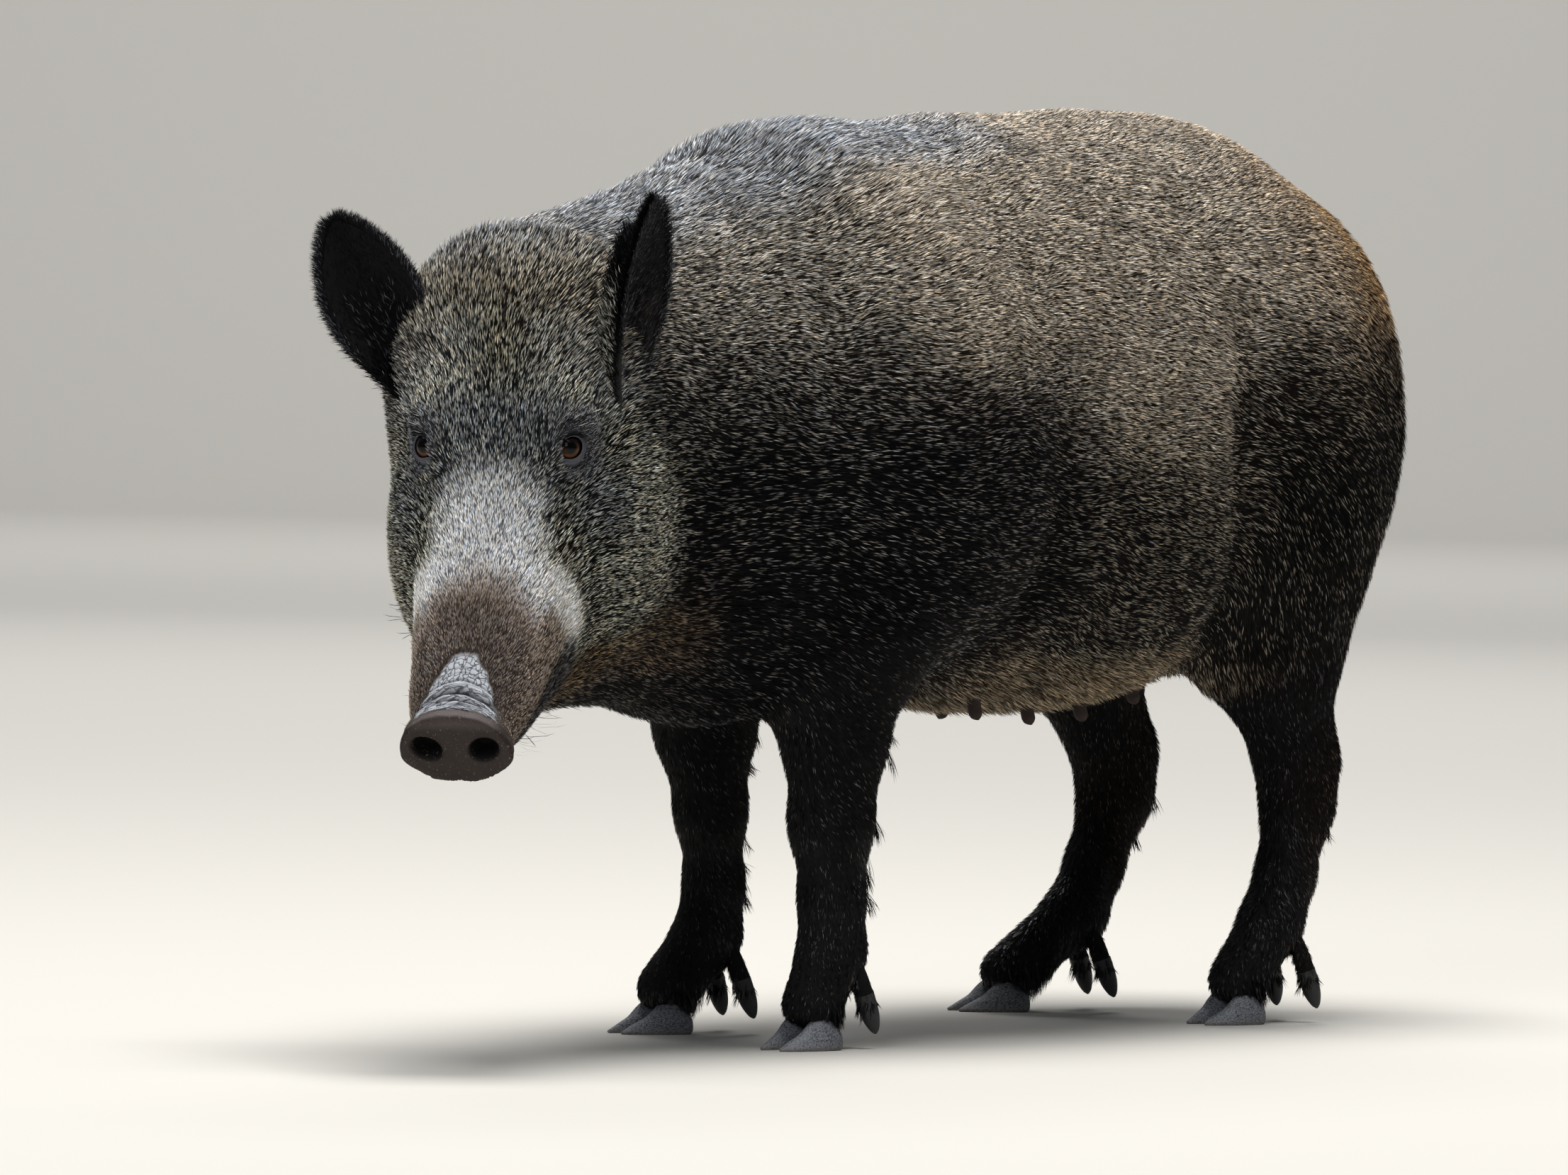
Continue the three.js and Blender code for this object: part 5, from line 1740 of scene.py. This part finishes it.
# %% [markdown]
# ## Eyes
#
# The eye is a ball with the clear cornea standing a little proud in front. The iris is dark amber with a
# large pupil, and what shows of the white is brown too. A clear coat on the finish gives the wet shine.

# %% Eyes
PER_IRIS = 0.0909  # turns millimetres from the line of sight into a share of the ramp
eye_finish = Finish("boar_eye")
ring = eye_finish.read("from_axis")
streak = eye_finish.noise(1800.0, 2.0)
tone = eye_finish.node("ValToRGB", {"stops": [
    (0.0, "010101"), (0.36, "010101"), (0.42, "1c0f07"), (0.52, "4a2c15"), (0.62, "63401f"), (0.70, "2a190e"),
    (0.76, "0b0706"), (1.0, "120d0c")]}, {0: ring * PER_IRIS + 0.05 * streak})
# Painted shade: the eye is painted darker towards the top, as the upper lid shades it, so the amber shows
# only as a crescent below.
tone = eye_finish.scaled(tone, 0.12 + 0.75 * eye_finish.read("lower"))
eye_finish.set(Base_Color=tone, Roughness=0.22)
for socket, value in (("Coat Weight", 0.13), ("Coat Roughness", 0.03), ("Specular IOR Level", 0.12)):
    eye_finish.surface.inputs[socket].default_value = value
GAZE = np.array([0.50, -0.68, 0.52])


def eye_piece(side, node):
    centre = eye_axes(side)[0]
    gaze = unit(GAZE * [side, 1, 1])
    along = unit(np.cross(gaze, [0, 0, 1]))
    over = np.cross(along, gaze)
    rows, columns = 44, 56
    polar = np.linspace(0.0, math.pi, rows)
    a = np.linspace(0, 2 * math.pi, columns, endpoint=False)
    from_axis = EYE_RADIUS * np.sin(polar)
    front = polar < math.pi / 2
    height = EYE_RADIUS * np.cos(polar) + 0.9 * rise(from_axis, 7.4, 3.0) * front
    across = np.outer(np.cos(a), along) + np.outer(np.sin(a), over)
    points = centre + from_axis[:, None, None] * across[None] + height[:, None, None] * gaze
    name = node.replace("eye", "eyeball")
    points = moved(head_frame, points.reshape(-1, 3))
    ob = shown(name, new_mesh(name, points, grid_faces(rows, columns, True)))
    # lower is 1 low on the eye and 0 high up; it sets the painted shade under the upper lid.
    painted(ob.data, from_axis=np.repeat(np.where(front, from_axis, EYE_RADIUS), columns),
            lower=rise(-np.outer(from_axis, np.sin(a)).ravel(), -4.5, 5.0))
    ob.data.materials.append(eye_finish.material)
    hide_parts(node)
    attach(ob, "root")


eye_piece(1, "eye_left")
eye_piece(-1, "eye_right")
print("eyes made")

# %% [markdown]
# ## Claws
#
# A boar stands on two claws and carries two smaller ones behind, clear of hard ground. A claw is low and
# pointed: its front wall slopes forward to the tip, and its heel is round and soft. Horn grows downwards in
# fine streaks and rings, wears pale at the ground edge and holds dust.

# %% Claws
horn_finish = Finish("claw_horn")
place = horn_finish.node("TexCoord", output=3)
stretched = horn_finish.node("Mapping", None, {0: place, 3: (1.0, 1.0, 0.16)})
streaks = horn_finish.noise(420.0, 3.0, stretched)
rings = horn_finish.noise(160.0, 2.0, horn_finish.node("Mapping", None, {0: place, 3: (0.3, 0.3, 3.0)}))
dust = horn_finish.noise(60.0, 1.5)
level = horn_finish.node("SeparateXYZ", None, {0: place}, 2)
dusty = horn_finish.between(level, 0.002, 0.045, 0.85, 0.35) * horn_finish.between(dust, 0.30, 0.66)
muddy = horn_finish.between(horn_finish.noise(90.0, 2.0), 0.35, 0.65)
muddy = horn_finish.between(level, 0.007, 0.0, 0.0, 0.8) * muddy
tone = horn_finish.mix(streaks, rgba("2b2d31"), rgba("373940"))
tone = horn_finish.mix(dusty, tone, rgba("8d9098"))
tone = horn_finish.mix(muddy, tone, rgba("8a8073"))
tone = horn_finish.mix(0.88 * horn_finish.read("dew"), tone, rgba("0e0d0d"))
horn_finish.set(
    Base_Color=tone,
    Roughness=0.42 + 0.4 * dusty,
    Normal=horn_finish.bump(streaks * 0.4 + rings * 0.8 + muddy, 0.4, 0.0006),
)
CLAW_LEVELS = [  # height, reach forwards, reach back, half width
    (0, 43, 18, 11.6), (1.5, 44, 19.5, 12.4), (4.5, 39, 20, 12.6), (8, 32.5, 20, 12.4), (12, 24.5, 19, 12),
    (16, 18, 17, 11), (20, 12, 14, 9.5), (24, 7, 11, 7.5)]
claw_front, claw_heel, claw_half = (
    curve_through([c[0] for c in CLAW_LEVELS], [c[k] for c in CLAW_LEVELS]) for k in (1, 2, 3))
CLAW_SPREAD, CLAW_TOP = 13.2, 24


def claw(sole, side, sides=44, rows=24):
    z = np.concatenate([[0], np.linspace(0.5, CLAW_TOP, rows - 1)])[:, None]
    a = np.arange(sides) * 2 * math.pi / sides
    cos, sin = np.cos(a), np.sin(a)
    forward = np.maximum(sin, 0) ** 1.1
    across = np.sign(cos) * np.abs(cos) ** 0.85 * (1 - 0.42 * forward ** 2)
    across = across * np.where(cos * side < 0, 0.88, 1.0)
    inward = -side * 3.2 * forward ** 2 * rise(z, 20, 4)
    ringed = 0.22 * np.sin(z * 1.5 + sin) * rise(z, 3, 8)
    x = side * CLAW_SPREAD + (claw_half(z) + ringed) * across + inward
    y = np.where(sin > 0, -claw_front(z) * forward, claw_heel(z) * np.abs(sin) ** 0.8)
    points = np.stack([x, y, z + rise(z, 12, 26) * -y * math.tan(CORONET_SLOPE)], -1)
    cap = points[:1] * [0.4, 0.4, 1] + [0.6 * side * CLAW_SPREAD, 0, 0]
    points = np.concatenate([cap, points])
    return moved(sole, points.reshape(-1, 3)), grid_faces(rows + 1, sides, True)


for name, leg in LEGS.items():
    start, points, faces = 0, [], []
    for half in BOTH:
        for q, f in (claw(foot_frames(leg)[1], half), dewclaw(name, half, 0.3, 1, 16, 0.2)):
            points.append(q)
            faces.append(f + start)
            start += len(q)
    piece = shown("claws_" + name, new_mesh("claws_" + name, np.concatenate(points), np.concatenate(faces)))
    sizes = [len(q) for q in points]
    painted(piece.data, dew=np.repeat([0.0, 1.0, 0.0, 1.0], sizes))
    piece.data.materials.append(horn_finish.material)
    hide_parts(*[f"{kind}_{name}_{at}" for kind in ("claw", "dewclaw") for at in ("inner", "outer")])
    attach(piece, "root")
print("claws made on", len(LEGS), "feet")

# %% [markdown]
# ## Studio
#
# A pale floor that curves up into the backdrop, one very big soft light overhead, as an overcast sky gives,
# and a weak one in front to open the shadows. Two more light the floor behind the animal and the backdrop,
# so that no edge shows where the one runs into the other. The camera looks from the front left of the
# animal, a little above the floor, with a long lens.

# %% Floor, lights and camera
CAMERA_AZIMUTH, CAMERA_RISE = 37, 3
DISTANCE = 10.0
VIEW_WIDTH = 1.2739
LEFT_OF_AIM = 0.165
AIM_HEIGHT = 0.348
WALL = 25.0  # beyond any camera that walks round the animal
WALL_HEIGHT, BEND, BEND_STEPS = 14.0, 4.0, 16
profile = [(-WALL, 0.0), (WALL - BEND, 0.0)]
for i in range(1, BEND_STEPS + 1):
    a = math.radians(90 * i / BEND_STEPS)
    profile.append((WALL - BEND + BEND * math.sin(a), BEND - BEND * math.cos(a)))
profile.append((WALL, WALL_HEIGHT))
floor_points = [(x, y, z) for y, z in profile for x in (-WALL, WALL)]
floor_mesh = bpy.data.meshes.new("floor")
floor_mesh.from_pydata(floor_points, [], grid_faces(len(profile), 2).tolist())
floor = shown("floor", floor_mesh)
floor.rotation_euler[2] = math.radians(CAMERA_AZIMUTH)
floor_finish = Finish("studio_floor")
floor_finish.set(Base_Color=rgba("bdbab4"), Roughness=0.9)
floor_mesh.materials.append(floor_finish.material)
floor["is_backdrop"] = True

world = bpy.data.worlds.new("studio")
world.use_nodes = True
background = world.node_tree.nodes["Background"]
background.inputs["Color"].default_value = (0.85, 0.92, 1.0, 1)
background.inputs["Strength"].default_value = 0.12
bpy.context.scene.world = world


def area_light(name, place, aim, size, power, colour):
    light = bpy.data.lights.new(name, "AREA")
    light.shape, light.size, light.energy, light.color = "SQUARE", size, power, colour
    ob = bpy.data.objects.new(name, light)
    bpy.context.scene.collection.objects.link(ob)
    ob.location = place
    ob.rotation_euler = (Vector(aim) - Vector(place)).to_track_quat("-Z", "Y").to_euler()


area_light("sky", (0.2, 0.0, 7.0), (0, 0.2, 0), 4.0, 860, (1, 0.99, 0.97))
area_light("front", (1.6, -5.0, 3.2), (0, -0.3, 0.4), 2.0, 92, (0.94, 0.97, 1))
area_light("middle", (-5.4, 7.2, 7.5), (-6.6, 8.8, 0), 5.0, 620, (1, 1, 1))
area_light("backdrop", (-9.6, 12.8, 9.0), (-15.0, 20.0, 5.0), 8.0, 900, (1, 1, 1))

azimuth, rise_angle = math.radians(CAMERA_AZIMUTH), math.radians(CAMERA_RISE)
behind = Vector((math.sin(azimuth) * math.cos(rise_angle), -math.cos(azimuth) * math.cos(rise_angle),
                 math.sin(rise_angle)))
right = Vector((math.cos(azimuth), math.sin(azimuth), 0))
above = behind.cross(right)
spot = Vector((0, 0, AIM_HEIGHT)) - right * LEFT_OF_AIM + behind * DISTANCE
level_camera = Matrix((
    (right.x, above.x, behind.x, spot.x), (right.y, above.y, behind.y, spot.y),
    (right.z, above.z, behind.z, spot.z), (0, 0, 0, 1)))
lean_at = [v * MM for v in LEAN_CENTRE]
tilt = Matrix(shift(*lean_at) @ turn("X", LEAN) @ shift(*[-v for v in lean_at]))
lens = bpy.data.cameras.new("camera")
lens.lens = lens.sensor_width * DISTANCE / VIEW_WIDTH
lens.clip_end = 100
camera = bpy.data.objects.new("camera", lens)
bpy.context.scene.collection.objects.link(camera)
camera.matrix_world = Matrix.Translation(Vector(ORIGIN_SHIFT.tolist()) * MM) @ tilt @ level_camera
bpy.context.scene.camera = camera
bpy.context.scene.view_settings.view_transform = "Standard"
print("camera stands at", [round(v, 2) for v in camera.matrix_world.translation])

# %% Sizes
visual_box = [list(corner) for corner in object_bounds()]
told("visual box:", visual_box)
